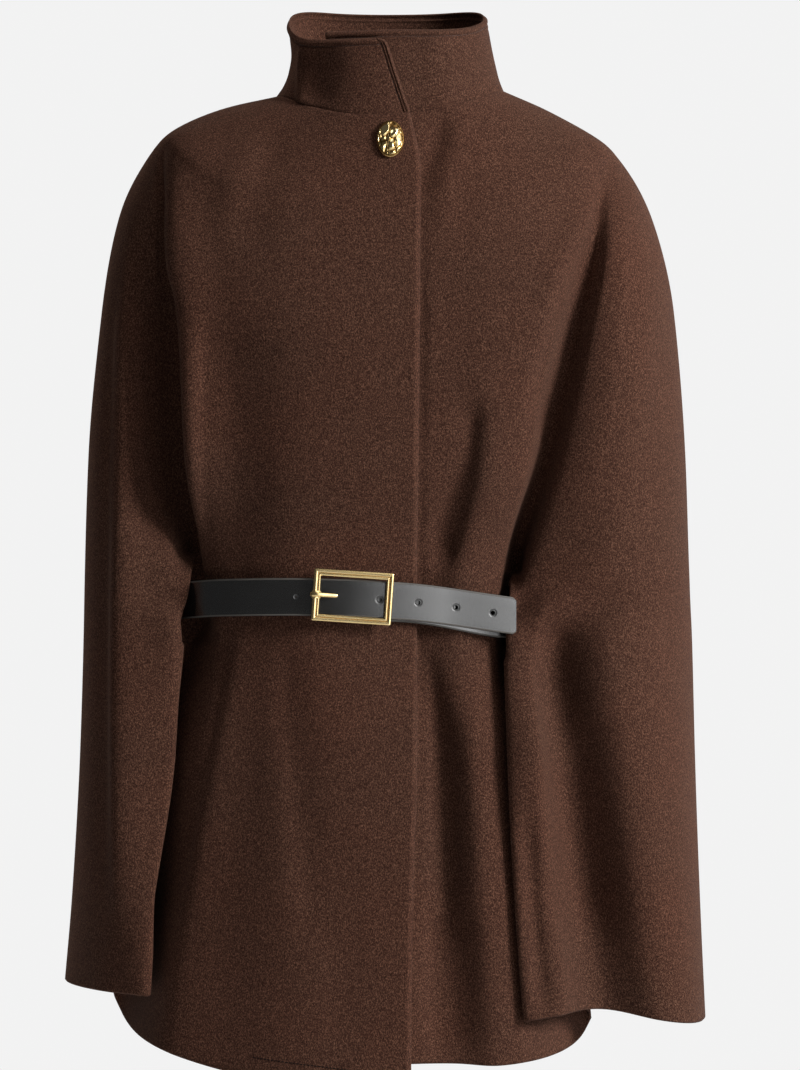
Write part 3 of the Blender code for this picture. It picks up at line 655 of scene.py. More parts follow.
# --------------------------------------
# Back: one plain piece from arm seam to arm seam, which hangs from the shoulders in soft flutes.
BACK_CREASES = (
    # depth, widths on the coat's left and right of it, path of x, z going down
    (7.0, 26, 20, ((-96, -190), (-112, -330), (-122, -520), (-130, -700), (-136, -800))),
    (-5.0, 22, 24, ((-62, -260), (-70, -420), (-76, -620), (-80, -800))),
    (8.0, 30, 22, ((44, -240), (50, -400), (58, -600), (62, -800))),
    (-5.0, 20, 26, ((98, -200), (112, -380), (122, -600), (128, -790))),
    (6.0, 18, 26, ((168, -150), (186, -330), (196, -560), (202, -780))),
    (3.0, 40, 30, ((-150, -60), (-96, -120), (-40, -150), (20, -160))),
    (2.5, 36, 30, ((150, -64), (104, -130), (60, -176), (10, -200))),
)
BACK_STEP = 4.0
BACK_FADE = 1.5     # fold lines over which the creases fade beside the arm seams
back_lines = even_columns("right_side", "left_side", BACK_STEP)
back_lines[0] += SEAM_SHIFT
back_lines[-1] -= SEAM_SHIFT
back_downs = even_downs("right", BACK_STEP)
back_base = cloth(back_lines, back_downs)
back_normals = cloth_normals(back_lines, back_downs)
side_fade = np.clip(np.minimum(back_lines - back_lines[0], back_lines[-1] - back_lines) / BACK_FADE, 0, 1)
back_depth = crease_depth(back_base[..., (0, 2)], BACK_CREASES) * side_fade
back_shaped = back_base - back_normals * back_depth[..., None]
back = shell("back_wool", [(back_base, back_shaped, back_normals)], WALL, wool)
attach(back, "root")
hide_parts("back")

# --------------------------------------
# Collar: a stand collar of two layers of the same wool, turned at its edges and topstitched. Its slanted
# right end lies over the left one.
COLLAR_WALL = 2.7
SEAM_GAP = 0.3
COLLAR_RINGS = (
    # part of the height, widths right and left, depths front and back, rise, end
    (0.00, 1.000, 1.000, 1.000, 1.000, 0.000,  0.0),
    (0.12, 0.940, 0.965, 0.990, 0.985, 0.140,  2.4),
    (0.30, 0.895, 0.935, 0.975, 0.960, 0.325,  6.0),
    (0.55, 0.870, 0.900, 0.960, 0.945, 0.580, 11.5),
    (0.80, 0.885, 0.872, 0.950, 0.935, 0.823, 17.0),
    (0.94, 0.905, 0.860, 0.945, 0.930, 0.952, 20.5),
    (1.00, 0.915, 0.855, 0.945, 0.925, 1.000, 24.5),
)
COLLAR_TOP_RIGHT = 43.7
COLLAR_TOP_LEFT = 50.5
COLLAR_TOP_BACK = 85.0
COLLAR_RISE_RIGHT = (-75.0, 62.0)
COLLAR_RISE_LEFT = (-100.0, 62.0)
COLLAR_END_DROP = 0.05
COLLAR_END_LENGTH = 34.0
COLLAR_BLEND = 40.0
COLLAR_STEP = 2.6
CENTRE_BACK = LINE["back_4"] + 0.5


def collar_point(line, neck, ring):
    """Outer point of one collar ring over a point of the neck seam."""
    _, right, left, front, back_part, height, _ = ring
    x, y, z = neck
    z += SEAM_GAP
    across = (right + left) / 2 + (left - right) / 2 * math.tanh(x / COLLAR_BLEND)
    on_right = line < CENTRE_BACK
    start, end = COLLAR_RISE_RIGHT if on_right else COLLAR_RISE_LEFT
    rise = ease(min(max((y - start) / (end - start), 0.0), 1.0))
    top = COLLAR_TOP_RIGHT if on_right else COLLAR_TOP_LEFT + COLLAR_END_DROP * min(x, 0.0)
    top += (COLLAR_TOP_BACK - top) * rise
    return (x * across, y * (front if y < 0 else back_part), z + (top - z) * height)


def neck_columns(step):
    """Places round the neck seam that lie about step mm apart."""
    lines = np.linspace(0, len(LINES) - 1, SAMPLES_PER_LINE * len(LINES))
    along = lengths_along(cloth(lines, KNOTS[:1])[0])
    return np.interp(np.linspace(0, along[-1], int(along[-1] / step) + 1), along, lines)


def collar_grid(seam, parts):
    """Outer points of the collar, a row for each part of its height."""
    rings = []
    for ring in COLLAR_RINGS:
        end = ring[-1] / COLLAR_END_LENGTH
        lines = np.where(seam < 1, end + (1 - end) * seam, seam)
        neck = cloth(lines, KNOTS[:1])[0]
        rings.append([collar_point(line, point, ring) for line, point in zip(lines, neck)])
    return smooth([ring[0] for ring in COLLAR_RINGS], np.array(rings), parts)


def grid_normals(points):
    """Unit normals of a grid of points, rows downward and columns from the right end round the back."""
    return unit_vectors(np.cross(np.gradient(points, axis=1), np.gradient(points, axis=0)))


COLLAR_FINE = (0.5, 1.0, 1.5, 2.0, 2.5, 3.0, 3.6, 4.2, 4.8, 5.4, 6.0, 6.6, 7.2, 8.2, 9.5)
FINE_BAND = 11.0
PLAIN_ROWS = 22
END_COLUMNS = 8
END_GAUGE = 0.6
COLLAR_HEIGHT = 66.0
COLLAR_CORNER = 3.0
COLLAR_GROOVES = (
    # line, distance from it, depth, half width
    ("end", 1.1, -0.5, 0.6),
    ("end", 2.3, 1.5, 0.6),
    ("end", 3.5, -0.5, 0.6),
    ("end", 4.8, 1.2, 0.7),
    ("top", 2.4, -0.4, 1.4),
    ("top", 5.0, 1.4, 0.9),
    ("top", 10.0, 0.5, 1.4),
)
COLLAR_ROLL = 1.3
COLLAR_ROLL_WIDTH = 2.0
BENDS_Y = -20.0     # the bends press only the collar's front, which lies before this
COLLAR_BENDS = (
    # depth, widths on the coat's left and right of it, path of x, z going down
    (-3.2, 9, 4, ((-75, 52), (-77, 20), (-77, -4), (-80, -26))),
    (1.5, 16, 10, ((-62, 38), (-62, 20), (-62, -2), (-64, -14))),
    (1.3, 30, 20, ((46, 40), (50, 20), (54, 0), (58, -12))),
)


def grid_lengths(points, axis):
    """Distance along each row or column of a grid from its first point."""
    steps = np.linalg.norm(np.diff(points, axis=axis), axis=2)
    start = np.zeros_like(steps.take([0], axis=axis))
    return np.concatenate((start, np.cumsum(steps, axis=axis)), axis=axis)


seam = neck_columns(COLLAR_STEP)
from_end = lengths_along(collar_grid(seam[:END_COLUMNS], [END_GAUGE]))
seam = np.sort(np.concatenate((seam, np.interp(COLLAR_FINE, from_end, seam[:END_COLUMNS]))))
parts = np.concatenate((np.linspace(0, 1 - FINE_BAND / COLLAR_HEIGHT, PLAIN_ROWS),
                        1 - np.array(COLLAR_FINE) / COLLAR_HEIGHT, [1.0]))
collar_points = collar_grid(seam, np.sort(parts)[::-1])
collar_normals = grid_normals(collar_points)
from_line = {"top": grid_lengths(collar_points, 0), "end": grid_lengths(collar_points, 1)}
pressed = np.zeros(collar_points.shape[:2])
for line, place, depth, half in COLLAR_GROOVES:
    pressed += depth * np.exp(-((from_line[line] - place) / half) ** 2)
for distance in from_line.values():
    pressed += COLLAR_ROLL * np.clip(1 - distance / COLLAR_ROLL_WIDTH, 0, 1) ** 2
bends = crease_depth(collar_points[..., (0, 2)], COLLAR_BENDS)
pressed += np.where(collar_points[..., 1] < BENDS_Y, bends, 0.0)
shaped = collar_points - collar_normals * pressed[..., None]
corner_top, corner_end = (np.clip(1 - from_line[line] / COLLAR_CORNER, 0, 1) for line in ("top", "end"))
reach, nearer = np.hypot(corner_top, corner_end), np.maximum(corner_top, corner_end)
cut = np.where(reach > TINY, 1 - nearer / np.maximum(reach, TINY), 0.0) * COLLAR_CORNER
shaped[..., 2] -= cut * corner_top
shaped[..., 0] -= cut * corner_end
collar = shell("collar_wool", [(collar_points, shaped, collar_normals)], COLLAR_WALL, wool)
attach(collar, "root")
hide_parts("collar")

# --------------------------------------
# Topstitching: brown thread in short even stitches, sunk in the wool, along the collar's top edge and
# slanted end, and a short run where the hem is caught.
STITCH_PITCH = 3.2
STITCH_LENGTH = 2.5
STITCH_SIDES = 6
STITCH_RINGS = ((-0.5, 0.35), (-0.38, 0.85), (0.0, 1.0), (0.38, 0.85), (0.5, 0.35))
THREAD_RADIUS = 0.28
HEM_THREAD_RADIUS = 0.5
TOP_STITCHES = (5.0, slice(14, None))
END_STITCHES = (4.8, slice(4, -3))
HEM_RUN = ((-119.0, -840.0), (-32.0, -849.5))
THREAD = (0.050, 0.026, 0.019, 1.0)
DARK_THREAD = (0.010, 0.006, 0.005, 1.0)
TWIST_SCALE = 2500.0


def circle(count):
    """Cosine and sine of count even turns round a circle."""
    turns = [math.tau * number / count for number in range(count)]
    return [(math.cos(turn), math.sin(turn)) for turn in turns]


def tube_faces(base, rings, sides):
    """Faces between the rings of a tube, whose points follow each other from number base on."""
    faces = []
    for low in range(base, base + (rings - 1) * sides, sides):
        for number in range(sides):
            after = (number + 1) % sides
            faces.append((low + number, low + after, low + sides + after, low + sides + number))
    return faces


def tube_ends(base, rings, sides):
    """Faces that close a tube at its first and last ring."""
    last = base + (rings - 1) * sides
    return [tuple(reversed(range(base, base + sides))), tuple(range(last, last + sides))]


def stitches(name, runs, radius, material):
    """Stitches along runs of points and normals, each stitch a small bead of thread."""
    points, faces = [], []
    for path, normals in runs:
        path, normals = np.array(path), np.array(normals)
        along = lengths_along(path)
        for start in np.arange(STITCH_PITCH / 2, along[-1] - STITCH_PITCH / 2, STITCH_PITCH):
            centre, further, up = (
                np.array([np.interp(at, along, values[:, i]) for i in range(3)])
                for at, values in ((start, path), (start + 0.5, path), (start, normals)))
            ahead, up = unit_vectors(further - centre), unit_vectors(up)
            side = np.cross(up, ahead)
            base = len(points)
            for place, wide in STITCH_RINGS:
                for cosine, sine in circle(STITCH_SIDES):
                    round_thread = (side * cosine + up * sine) * wide * radius
                    points.append(centre + ahead * place * STITCH_LENGTH + round_thread)
            faces += tube_faces(base, len(STITCH_RINGS), STITCH_SIDES)
            faces += tube_ends(base, len(STITCH_RINGS), STITCH_SIDES)
    return place_mesh(name, points, faces, material)


def on_column(grid, upward, column, place, distance):
    """Point and normal where one column of a grid reaches a place in the distances along it."""
    return [[np.interp(place, distance, item[:, column, i]) for i in range(3)] for item in (grid, upward)]


def collar_run(line, place, clear):
    """Points and normals of the collar at a distance from its end or its top edge."""
    grids = (shaped, collar_normals, from_line[line])
    if line == "end":
        grids = (item.swapaxes(0, 1) for item in grids)
    grid, upward, distance = grids
    found = [on_column(grid, upward, column, place, distance[:, column]) for column in range(grid.shape[1])]
    return zip(*found[clear])


def hem_run(grid, upward):
    """Points and normals of the right front along the caught part of its hem."""
    (first_x, first_z), (last_x, last_z) = HEM_RUN
    found = []
    for column in reversed(range(grid.shape[1])):
        part = (grid[-1, column, 0] - first_x) / (last_x - first_x)
        if 0 <= part <= 1:
            height = first_z + (last_z - first_z) * part
            found.append(on_column(grid, upward, column, -height, -grid[:, column, 2]))
    return zip(*found)


thread, start = begin_material("brown_thread")
twist = grain_noise(start, TWIST_SCALE) * 0.3
surface(thread, {"Base Color": THREAD, "Roughness": twist + 0.5, "Sheen Weight": 0.1})
collar_runs = (collar_run("top", *TOP_STITCHES), collar_run("end", *END_STITCHES))
collar_stitches = stitches("collar_stitches", collar_runs, THREAD_RADIUS, thread)
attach(collar_stitches, "root")

dark_thread, start = begin_material("dark_thread")
twist = grain_noise(start, TWIST_SCALE) * 0.3
surface(dark_thread, {"Base Color": DARK_THREAD, "Roughness": twist + 0.6, "Specular IOR Level": 0.08})
hem_stitches = stitches("hem_stitches", [hem_run(*right_patches[0][1:])], HEM_THREAD_RADIUS, dark_thread)
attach(hem_stitches, "root")

# --------------------------------------
# Belt: one strap of black half-gloss leather, 33 mm wide and 3 mm thick, with pressed and dressed edges. It
# goes round the back on the inside and laps over itself at the front, where its holes are punched.
BELT_WIDTH = 33.0
BELT_THICK = 3.0
LAYER_STEP = 3.6
HOLES = (
    # x, diameter with the pressed ring
    (-77.5, 2.6), (-7.5, 6.0), (25.0, 6.0), (56.5, 6.0), (84.5, 6.0),
)
HOLE_PART = 0.66
HOLE_SIDES = 20
RING_PART = 0.43
RING_WIDTH = 0.75
BELT_HEIGHTS = (
    # degrees round from the front, height of the belt's middle
    (-20, -447.5), (0, -450.5), (34, -465.5), (90, -462), (180, -448), (280, -449), (310, -446),
    (335, -445), (352, -446), (362, -449), (394, -463), (410, -468),
)
STRAP_START_X = -52.0
TIP_X = 100.3
TIP_LIFT_X = 48.0
TIP_LIFT = 11.0
TIP_BOW = 1.6
CLIMB_START = 120.0
CLIMB_SPAN = 160.0
STRAP_FINE_STEPS = 420
DRESSED_STEPS = (5, 6)
STRAP_PROFILE = (
    # distance from the inner face, part of the way from the middle to an edge, inset at that edge
    (0.0, 0.0, 0.0), (0.0, 1.0, 0.9), (0.25, 1.0, 0.35), (0.8, 1.0, 0.05), (1.5, 1.0, 0.0), (2.2, 1.0, 0.05),
    (2.75, 1.0, 0.35), (3.0, 1.0, 0.9), (3.0, 1.0, 1.7), (2.95, 1.0, 2.1), (3.0, 1.0, 2.5), (3.0, 0.5, 0.0),
    (3.0, 0.0, 0.0),
)
TIP_CORNER = 2.2
TIP_CURVE = 0.8     # radius of the belt's path at the tip, as a part of its half width
BELT_SHARP = 35
LEATHER_BLACK = (0.006, 0.0058, 0.0055, 1.0)
LEATHER_WORN = (0.012, 0.0116, 0.011, 1.0)
EDGE_GREY = (0.085, 0.077, 0.068, 1.0)
PORE_SCALE = 1100.0
WRINKLE_SCALE = 420.0
WORN_SCALE = 40.0
SCUFF_SCALE = 700.0
HIDE_RELIEF = 0.00028
RING_RELIEF = 0.0006


def belt_place(angle, out):
    """Point at a distance outside the belt's inner path, the direction outward, and the belt's height."""
    x, y = belt_loop(angle, out)
    ahead, behind = belt_loop(angle + 0.001, out), belt_loop(angle - 0.001, out)
    along = Vector((ahead[0] - behind[0], ahead[1] - behind[1], 0)).normalized()
    outward = Vector((along.y, -along.x, 0))
    knots, heights = zip(*BELT_HEIGHTS)
    height = float(smooth(knots, heights, [math.degrees(angle)])[0])
    return Vector((x, y, height)), outward


def strap_out(angle):
    """How far outside the inner path the strap lies: it climbs over its own inner end at the back."""
    climb = min(max((math.degrees(angle) - CLIMB_START) / CLIMB_SPAN, 0), 1)
    tip = max((angle - belt_angle(TIP_LIFT_X) - math.tau) / (belt_angle(TIP_X) - belt_angle(TIP_LIFT_X)), 0)
    return LAYER_STEP * ease(climb) + TIP_LIFT * tip ** TIP_BOW


first, last = belt_angle(STRAP_START_X), belt_angle(TIP_X) + math.tau
half_profile = [(out, part * BELT_WIDTH / 2 - inset) for out, part, inset in STRAP_PROFILE]
section = half_profile[1:-1] + [(out, -up) for out, up in reversed(half_profile[1:-1])]
size = len(section)
strap_points = []
for number, angle in enumerate(np.linspace(first, last, STRAP_FINE_STEPS)):
    place, outward = belt_place(angle, strap_out(angle))
    left_over = (STRAP_FINE_STEPS - 1 - number) * (last - first) / (STRAP_FINE_STEPS - 1)
    to_tip = left_over * BELT_HALF[0] * TIP_CURVE
    short = TIP_CORNER * (1 - math.sqrt(max(1 - (1 - min(to_tip / TIP_CORNER, 1)) ** 2, 0)))
    narrow = (BELT_WIDTH / 2 - short) / (BELT_WIDTH / 2)
    strap_points += [tuple(place + outward * out + Vector((0, 0, up * narrow))) for out, up in section]
strap_faces = tube_faces(0, STRAP_FINE_STEPS, size)
dressed = [corner in DRESSED_STEPS or size - 2 - corner in DRESSED_STEPS for corner in range(size)]
strap_ends = tube_ends(0, STRAP_FINE_STEPS, size)
leather, hide = begin_material("black_leather")
dressing, dressing_start = begin_material("dressed_edge")
belt = place_mesh("belt_leather", strap_points, strap_faces + strap_ends, leather, BELT_SHARP)
belt.data.materials.append(dressing)
for number, face in enumerate(belt.data.polygons[:len(strap_faces)]):
    face.material_index = int(dressed[number % size])

hole_places = []
for x, diameter in HOLES:
    angle = belt_angle(x) + math.tau
    place, outward = belt_place(angle, strap_out(angle) + BELT_THICK / 2)
    hole_places.append((place + outward * BELT_THICK / 2, diameter))
    radius = MM * diameter / 2 * HOLE_PART
    stand = outward.to_track_quat("Z", "Y").to_matrix().to_4x4()
    punch = bmesh.new()
    bmesh.ops.create_cone(punch, cap_ends=True, segments=HOLE_SIDES, radius1=radius, radius2=radius,
                          depth=MM * (BELT_THICK + 1.0), matrix=Matrix.Translation(place * MM) @ stand)
    punch_mesh = bpy.data.meshes.new("punch")
    punch.to_mesh(punch_mesh)
    punch.free()
    cutter = bpy.data.objects.new("punch", punch_mesh)
    bpy.context.scene.collection.objects.link(cutter)
    cut = belt.modifiers.new("hole", "BOOLEAN")
    cut.operation = "DIFFERENCE"
    cut.solver = "EXACT"
    cut.object = cutter
    punched = bpy.data.meshes.new_from_object(belt.evaluated_get(bpy.context.evaluated_depsgraph_get()))
    belt.modifiers.clear()
    belt.data = punched
    bpy.data.objects.remove(cutter)
belt.data.shade_smooth()
belt.data.set_sharp_from_angle(angle=math.radians(BELT_SHARP))

where = hide.node("ShaderNodeTexCoord", out=3)
pores = hide.node("ShaderNodeTexVoronoi", {"feature": "SMOOTH_F1"}, {"Vector": where, "Scale": PORE_SCALE})
wrinkles = grain_noise(where, WRINKLE_SCALE, 4.0, 0.6)
worn = grain_noise(where, WORN_SCALE)
rings = 0.0
for place, diameter in hole_places:
    distance = hide.node("ShaderNodeVectorMath", {"operation": "DISTANCE"},
                         {0: where, 1: tuple(place * MM)}, out=1)
    offset = (distance - MM * diameter * RING_PART) * (1 / (MM * RING_WIDTH))
    rings = hide.node("ShaderNodeMath", {"operation": "EXPONENT"}, {0: offset * offset * -1.0}) + rings
dull = hide.node("ShaderNodeMath", {"operation": "MINIMUM"}, {0: rings, 1: 1.0})
pressed_rings = raised(rings * -1.0, 0.8, RING_RELIEF)
hide_relief = raised(pores * 0.4 + wrinkles * 0.6, 0.5, HIDE_RELIEF, over=pressed_rings)
surface(leather, {"Base Color": blend(worn, LEATHER_BLACK, LEATHER_WORN), "Normal": hide_relief,
                  "Roughness": worn * 0.08 + 0.20 + dull * 0.5, "Specular IOR Level": 1.0,
                  "Coat Weight": (1.0 - dull) * 0.6, "Coat Roughness": 0.18})
scuffs = grain_noise(dressing_start, SCUFF_SCALE)
surface(dressing, {"Base Color": EDGE_GREY, "Roughness": scuffs * 0.2 + 0.5})
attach(belt, "root")
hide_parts("belt_strap")

# --------------------------------------
# Buckle: a cast rectangular frame, 69.5 by 45.5 mm, with a stepped face and a polished gold plating, and a
# round prong whose sleeve turns on the frame's left bar.
FRAME_SIZE = (69.5, 45.5)
FRAME_CENTRE = (-30.0, -445.0)
FRAME_TILT = math.radians(4.0)
FRAME_GAP = 0.6
FRAME_PROFILE = (
    # inset from the outer edge, height over the strap
    (0.25, 0.0), (0.0, 0.3), (0.0, 2.2), (0.25, 2.75), (0.8, 3.1), (1.7, 3.25), (2.6, 3.2), (3.2, 2.95),
    (3.5, 2.4), (3.65, 1.6), (4.0, 1.6), (4.2, 2.4), (4.6, 2.65), (5.3, 2.6), (5.9, 2.2), (6.2, 1.6),
    (6.2, 0.3), (5.95, 0.0),
)
FRAME_CORNER = 1.6
INNER_CORNER = 0.2
CORNER_STEPS = 6
FRAME_SHARP = 38
GOLD_LIGHT = (0.93, 0.74, 0.40, 1.0)
GOLD_DEEP = (0.80, 0.58, 0.25, 1.0)
GOLD_TONE_SCALE = 60.0
POLISH_SCALE = 900.0


def frame_matrix():
    """Place of the buckle: its local x runs along its long side, its z out from the belt."""
    angle = belt_angle(FRAME_CENTRE[0]) + math.tau
    place, outward = belt_place(angle, strap_out(angle) + BELT_THICK + FRAME_GAP)
    place.z = FRAME_CENTRE[1]
    upright = Matrix((Vector((-outward.y, outward.x, 0)), Vector((0, 0, 1)), outward)).transposed().to_4x4()
    return Matrix.Translation(place * MM) @ upright @ Matrix.Rotation(-FRAME_TILT, 4, "Z")


def placed(points):
    """Points of the buckle in the coat's frame, in mm."""
    turn = frame_matrix()
    return [tuple((turn @ (Vector(point) * MM)) / MM) for point in points]


frame_points, frame_faces = [], []
around = []
for sign_x, sign_y, start in ((-1, -1, 180), (1, -1, 270), (1, 1, 0), (-1, 1, 90)):
    for step in range(CORNER_STEPS):
        around.append((sign_x, sign_y, math.radians(start + 90 * step / (CORNER_STEPS - 1))))
for sign_x, sign_y, turn in around:
    for inset, height in FRAME_PROFILE:
        radius = max(FRAME_CORNER - inset, INNER_CORNER)
        x = sign_x * (FRAME_SIZE[0] / 2 - inset - radius) + radius * math.cos(turn)
        y = sign_y * (FRAME_SIZE[1] / 2 - inset - radius) + radius * math.sin(turn)
        frame_points.append((x, y, height))
count = len(FRAME_PROFILE)
for number in range(len(around)):
    here, there = number * count, (number + 1) % len(around) * count
    for step in range(count):
        after = (step + 1) % count
        frame_faces.append((here + step, there + step, there + after, here + after))

gold, plate = begin_material("polished_gold")
where = plate.node("ShaderNodeTexCoord", out=3)
tone = grain_noise(where, GOLD_TONE_SCALE)
shine = raised(grain_noise(where, POLISH_SCALE), 0.02, 0.0002)
surface(gold, {"Base Color": blend(tone, GOLD_LIGHT, GOLD_DEEP), "Metallic": 1.0,
               "Roughness": tone * 0.08 + 0.20, "Normal": shine})
buckle = place_mesh("buckle_gold", placed(frame_points), frame_faces, gold, FRAME_SHARP)
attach(buckle, "root")
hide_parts("buckle_frame")

PRONG_PATH = (
    # place along the belt from the frame's middle, height, half width, half height
    (-36.6, 2.6, 1.9, 1.0), (-35.6, 4.4, 2.1, 1.2), (-33.6, 5.2, 2.1, 1.3), (-31.0, 5.3, 2.0, 1.3),
    (-28.4, 5.0, 1.9, 1.4), (-25.4, 4.2, 1.9, 1.5), (-22.0, 3.4, 1.9, 1.5), (-18.0, 2.8, 1.85, 1.5),
    (-14.8, 2.5, 1.75, 1.4), (-13.4, 2.4, 1.3, 1.0), (-12.9, 2.4, 0.5, 0.4),
)
PRONG_SIDES = 16
PRONG_SHARP = 40
PRONG_ROUNDING = 0.2
SLEEVE_HALF = 3.2
SLEEVE_CENTRE = Vector((-31.7, 0.0))
SLEEVE_PATH = (
    # place along the belt, height
    (-35.3, 0.6), (-35.4, 2.6), (-34.8, 3.7), (-33.4, 4.05), (-31.2, 3.9), (-29.6, 3.3), (-28.4, 2.3),
    (-28.1, 0.8),
)
SLEEVE_THICK = 0.7

prong_points = [(along, wide * cosine, height + tall * sine)
                for along, height, wide, tall in PRONG_PATH for cosine, sine in circle(PRONG_SIDES)]
sleeve_start = len(prong_points)
for along, height in SLEEVE_PATH:
    out = (Vector((along, height)) - SLEEVE_CENTRE).normalized() * SLEEVE_THICK
    for side, lift in ((-1, 0), (-1, 1), (1, 1), (1, 0)):
        prong_points.append((along + out.x * lift, side * SLEEVE_HALF, height + out.y * lift))
rod, sleeve = (0, len(PRONG_PATH), PRONG_SIDES), (sleeve_start, len(SLEEVE_PATH), 4)
prong_faces = tube_faces(*rod) + [end[::-1] for end in tube_ends(*rod)]
prong_faces += tube_faces(*sleeve) + tube_ends(*sleeve)
prong =place_mesh("prong_gold", placed(prong_points), prong_faces, gold, PRONG_SHARP)
rounding = prong.modifiers.new("edges", "BEVEL")
rounding.width = MM * PRONG_ROUNDING
rounding.segments = 2
rounding.limit_method = "ANGLE"
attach(prong, "root")
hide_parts("buckle_prong")

# --------------------------------------
# Button: an oval domed metal button, 25 by 34 mm, gold plated, with a hammered nugget face inside a plain
# rim. It is sewn to the right front through a shank behind it. Its colour has painted shade: dark brown in the
# face's hollows, in the band just inside the rim and on its back.
BUTTON_SIZE = (24.6, 34.4)
BUTTON_STAND = 0.4
BUTTON_PLACE = (0.49, 46.2)
BUTTON_RINGS = 44
BUTTON_TURNS = 120
BUTTON_PROFILE = (
    # part of the radius, height
    (0.0, 6.2), (0.35, 6.0), (0.65, 5.2), (0.84, 4.1), (0.93, 3.3), (0.975, 2.5), (1.0, 1.5),
)
BUTTON_BACK = ((0.93, 0.3), (0.8, 0.0), (0.4, 0.0), (0.0, 0.0))     # the same, on behind the rim
RELIEF = 1.6
RELIEF_EDGE = 0.92
RELIEF_FADE = 0.10
RIM_EDGE = 0.96
BUTTON_SHARP = 60
NUGGET_LIGHT = (0.92, 0.72, 0.36)
NUGGET_DEEP = GOLD_DEEP[:3]
NUGGET_PAINTED_SHADE = (0.16, 0.085, 0.025)
LUMP_FLATNESS = 3.5
LUMP_LEVEL = 0.7
VALLEY_BEND = 3.2

place = Vector(cloth([BUTTON_PLACE[0]], [BUTTON_PLACE[1]])[0][0])
outward = Vector(cloth_normals([BUTTON_PLACE[0]], [BUTTON_PLACE[1]])[0][0])
place += outward * BUTTON_STAND
button_face = outward.to_track_quat("Z", "Y").to_matrix()
parts, heights = zip(*BUTTON_PROFILE)


def nugget(x, y):
    """Height of the hammered face at a place on it: broad flat lumps with sharp valleys between them."""
    bend = noise.noise(Vector((x * 0.12, y * 0.12, 5.1))) * VALLEY_BEND
    spot = Vector(((x + bend) * 0.17 + 3.1, (y - x * 0.5 + bend) * 0.11 - 1.7, 0.4))
    cells = noise.voronoi(spot)[0]
    lumps = min((cells[1] - cells[0]) * LUMP_FLATNESS, 1.0)
    ripples = noise.noise(Vector((x * 0.35, y * 0.26, 2.2)))
    return lumps - LUMP_LEVEL + 0.3 * ripples


# Painted shade: the colour runs from gold on the tops of the lumps to dark brown where the face lies deep. It
# stands in for the shade and dark reflections in the hollows, not for a patina.
shaded_nugget, cast = begin_material("nugget_gold")
recess_shading = cast.node("ShaderNodeAttribute", {"attribute_name": "hollow"}, out=2)
painted_hollow_shade = cast.node("ShaderNodeValToRGB", {"stops": (
    (0.0, NUGGET_LIGHT), (0.5, NUGGET_DEEP), (0.9, NUGGET_PAINTED_SHADE),
)}, {"Fac": recess_shading})
surface(shaded_nugget, {"Base Color": painted_hollow_shade, "Metallic": 1.0, "Roughness": recess_shading * 0.25 + 0.14})

button_points, hollow = [], []
rings = [(wide, float(smooth(parts, heights, [wide])[0]), True) for wide in np.linspace(0.0, 1.0, BUTTON_RINGS)]
rings += [(wide, height, False) for wide, height in BUTTON_BACK]
for wide, height, on_face in rings:
    fade = min(max((RELIEF_EDGE - wide) / RELIEF_FADE, 0), 1) if on_face else 0
    for cosine, sine in circle(BUTTON_TURNS):
        x, y = wide * cosine * BUTTON_SIZE[0] / 2, wide * sine * BUTTON_SIZE[1] / 2
        lump = nugget(x, y)
        # Painted shade: the plain band just inside the rim and the button's back get the full dark brown, and
        # the rim's outer edge stays gold.
        beside = float(wide < RIM_EDGE or not on_face)
        hollow.append(min(max(0.10 - lump * 1.5, 0.0), 1.0) if fade > 0.5 else beside)
        button_points.append(tuple(place + button_face @ Vector((x, y, height + RELIEF * fade * lump))))
button_faces = [(a, d, c, b) for a, b, c, d in tube_faces(0, len(rings), BUTTON_TURNS)]
button = place_mesh("button_gold", button_points, button_faces, shaded_nugget, BUTTON_SHARP)
button.data.attributes.new("hollow", "FLOAT", "POINT").data.foreach_set("value", hollow)
merged = bmesh.new()     # the first and last rings close to one point each
merged.from_mesh(button.data)
bmesh.ops.remove_doubles(merged, verts=merged.verts, dist=1e-6)
merged.to_mesh(button.data)
merged.free()
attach(button, "root")
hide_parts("button")

# --------------------------------------
# Studio: a pale round floor well below the hem, a pale backdrop, soft lights, and for mirrored rays a bright
# panel on the coat's left.
FLOOR_Z = -1.56
FLOOR_RADIUS = 3.2
FLOOR_SIDES = 96
FLOOR_PALE = (0.8, 0.8, 0.8, 1.0)

floor_mesh = bpy.data.meshes.new("floor")
floor_form = bmesh.new()
bmesh.ops.create_circle(floor_form, cap_ends=True, segments=FLOOR_SIDES, radius=FLOOR_RADIUS)
floor_form.to_mesh(floor_mesh)
floor_form.free()
floor = bpy.data.objects.new("floor", floor_mesh)
floor.location = (0, 0, FLOOR_Z)
bpy.context.scene.collection.objects.link(floor)
pale, _ = begin_material("pale_floor")
surface(pale, {"Base Color": FLOOR_PALE, "Roughness": 0.9})
floor.data.materials.append(pale)

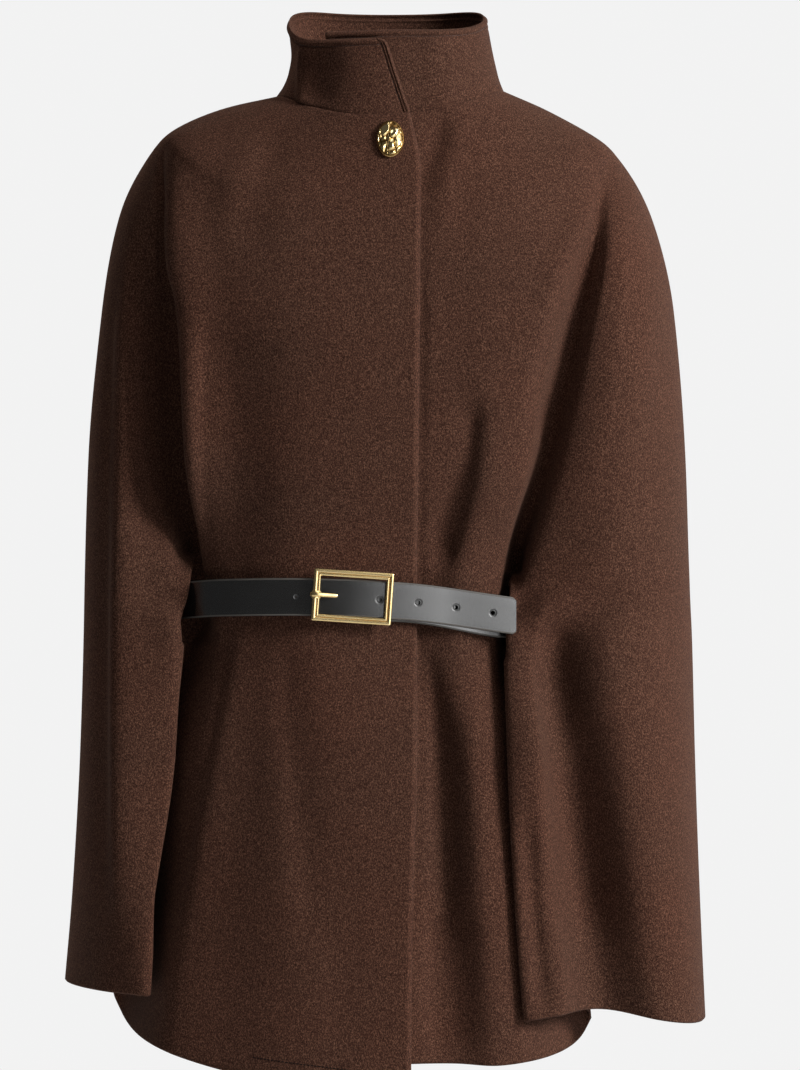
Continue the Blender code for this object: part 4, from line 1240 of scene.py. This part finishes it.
LIGHTS = (
    # name, place, aimed at, size, power
    ("key", (2.95, -1.65, 0.9), (0.0, 0.0, -0.4), (1.0, 1.3), 150.0),
    ("strip", (2.3, -2.8, -0.35), (0.0, 0.0, -0.4), (0.45, 1.6), 5.0),
    ("fill", (-0.6, -3.2, 0.3), (0.0, 0.0, -0.4), (1.6, 1.8), 2.0),
    ("top", (0.2, -0.4, 2.2), (0.0, 0.0, -0.2), (1.6, 1.2), 16.0),
    ("rear", (-1.4, 2.8, 1.0), (0.0, 0.0, -0.4), (1.4, 1.6), 95.0),
)
for name, place, aim, size, power in LIGHTS:
    light = bpy.data.lights.new(name, "AREA")
    light.shape = "RECTANGLE"
    light.size, light.size_y = size
    light.energy = power
    lamp = bpy.data.objects.new(name, light)
    lamp.location = place
    lamp.rotation_euler = (Vector(place) - Vector(aim)).to_track_quat("Z", "Y").to_euler()
    bpy.context.scene.collection.objects.link(lamp)
    lamp.visible_glossy = name in ("key", "strip")

BACKDROP = 0.84
ROOM_LIGHT = 0.05
PANEL_BASE = 0.03
PANEL_RISE = (0.20, 0.42)
PANEL_FALL = (0.60, 0.86)
PANEL_GLOW = 2.3
PANEL_END = 0.2

world = bpy.data.worlds.new("studio")
bpy.context.scene.world = world
world.use_nodes = True
air = Shade(world.node_tree)
backdrop = world.node_tree.nodes["Background"]
seen, mirrored = (air.node("ShaderNodeLightPath", out=number) for number in (0, 3))
direction = air.node("ShaderNodeTexCoord", out=0)
toward = air.node("ShaderNodeSeparateXYZ", sockets={"Vector": direction}, out=0)
rise, fall = (air.node("ShaderNodeMapRange", {"interpolation_type": "SMOOTHSTEP"}, {
    "Value": toward, "From Min": low, "From Max": high, "To Min": before, "To Max": after,
}) for (low, high), before, after in ((PANEL_RISE, PANEL_BASE, PANEL_GLOW), (PANEL_FALL, 1.0, PANEL_END)))
strength = seen * BACKDROP + ROOM_LIGHT + mirrored * (rise * fall)
world.node_tree.links.new(strength.socket, backdrop.inputs["Strength"])
backdrop.inputs["Color"].default_value = (1.0, 1.0, 1.0, 1.0)
bpy.context.scene.view_settings.view_transform = "Standard"
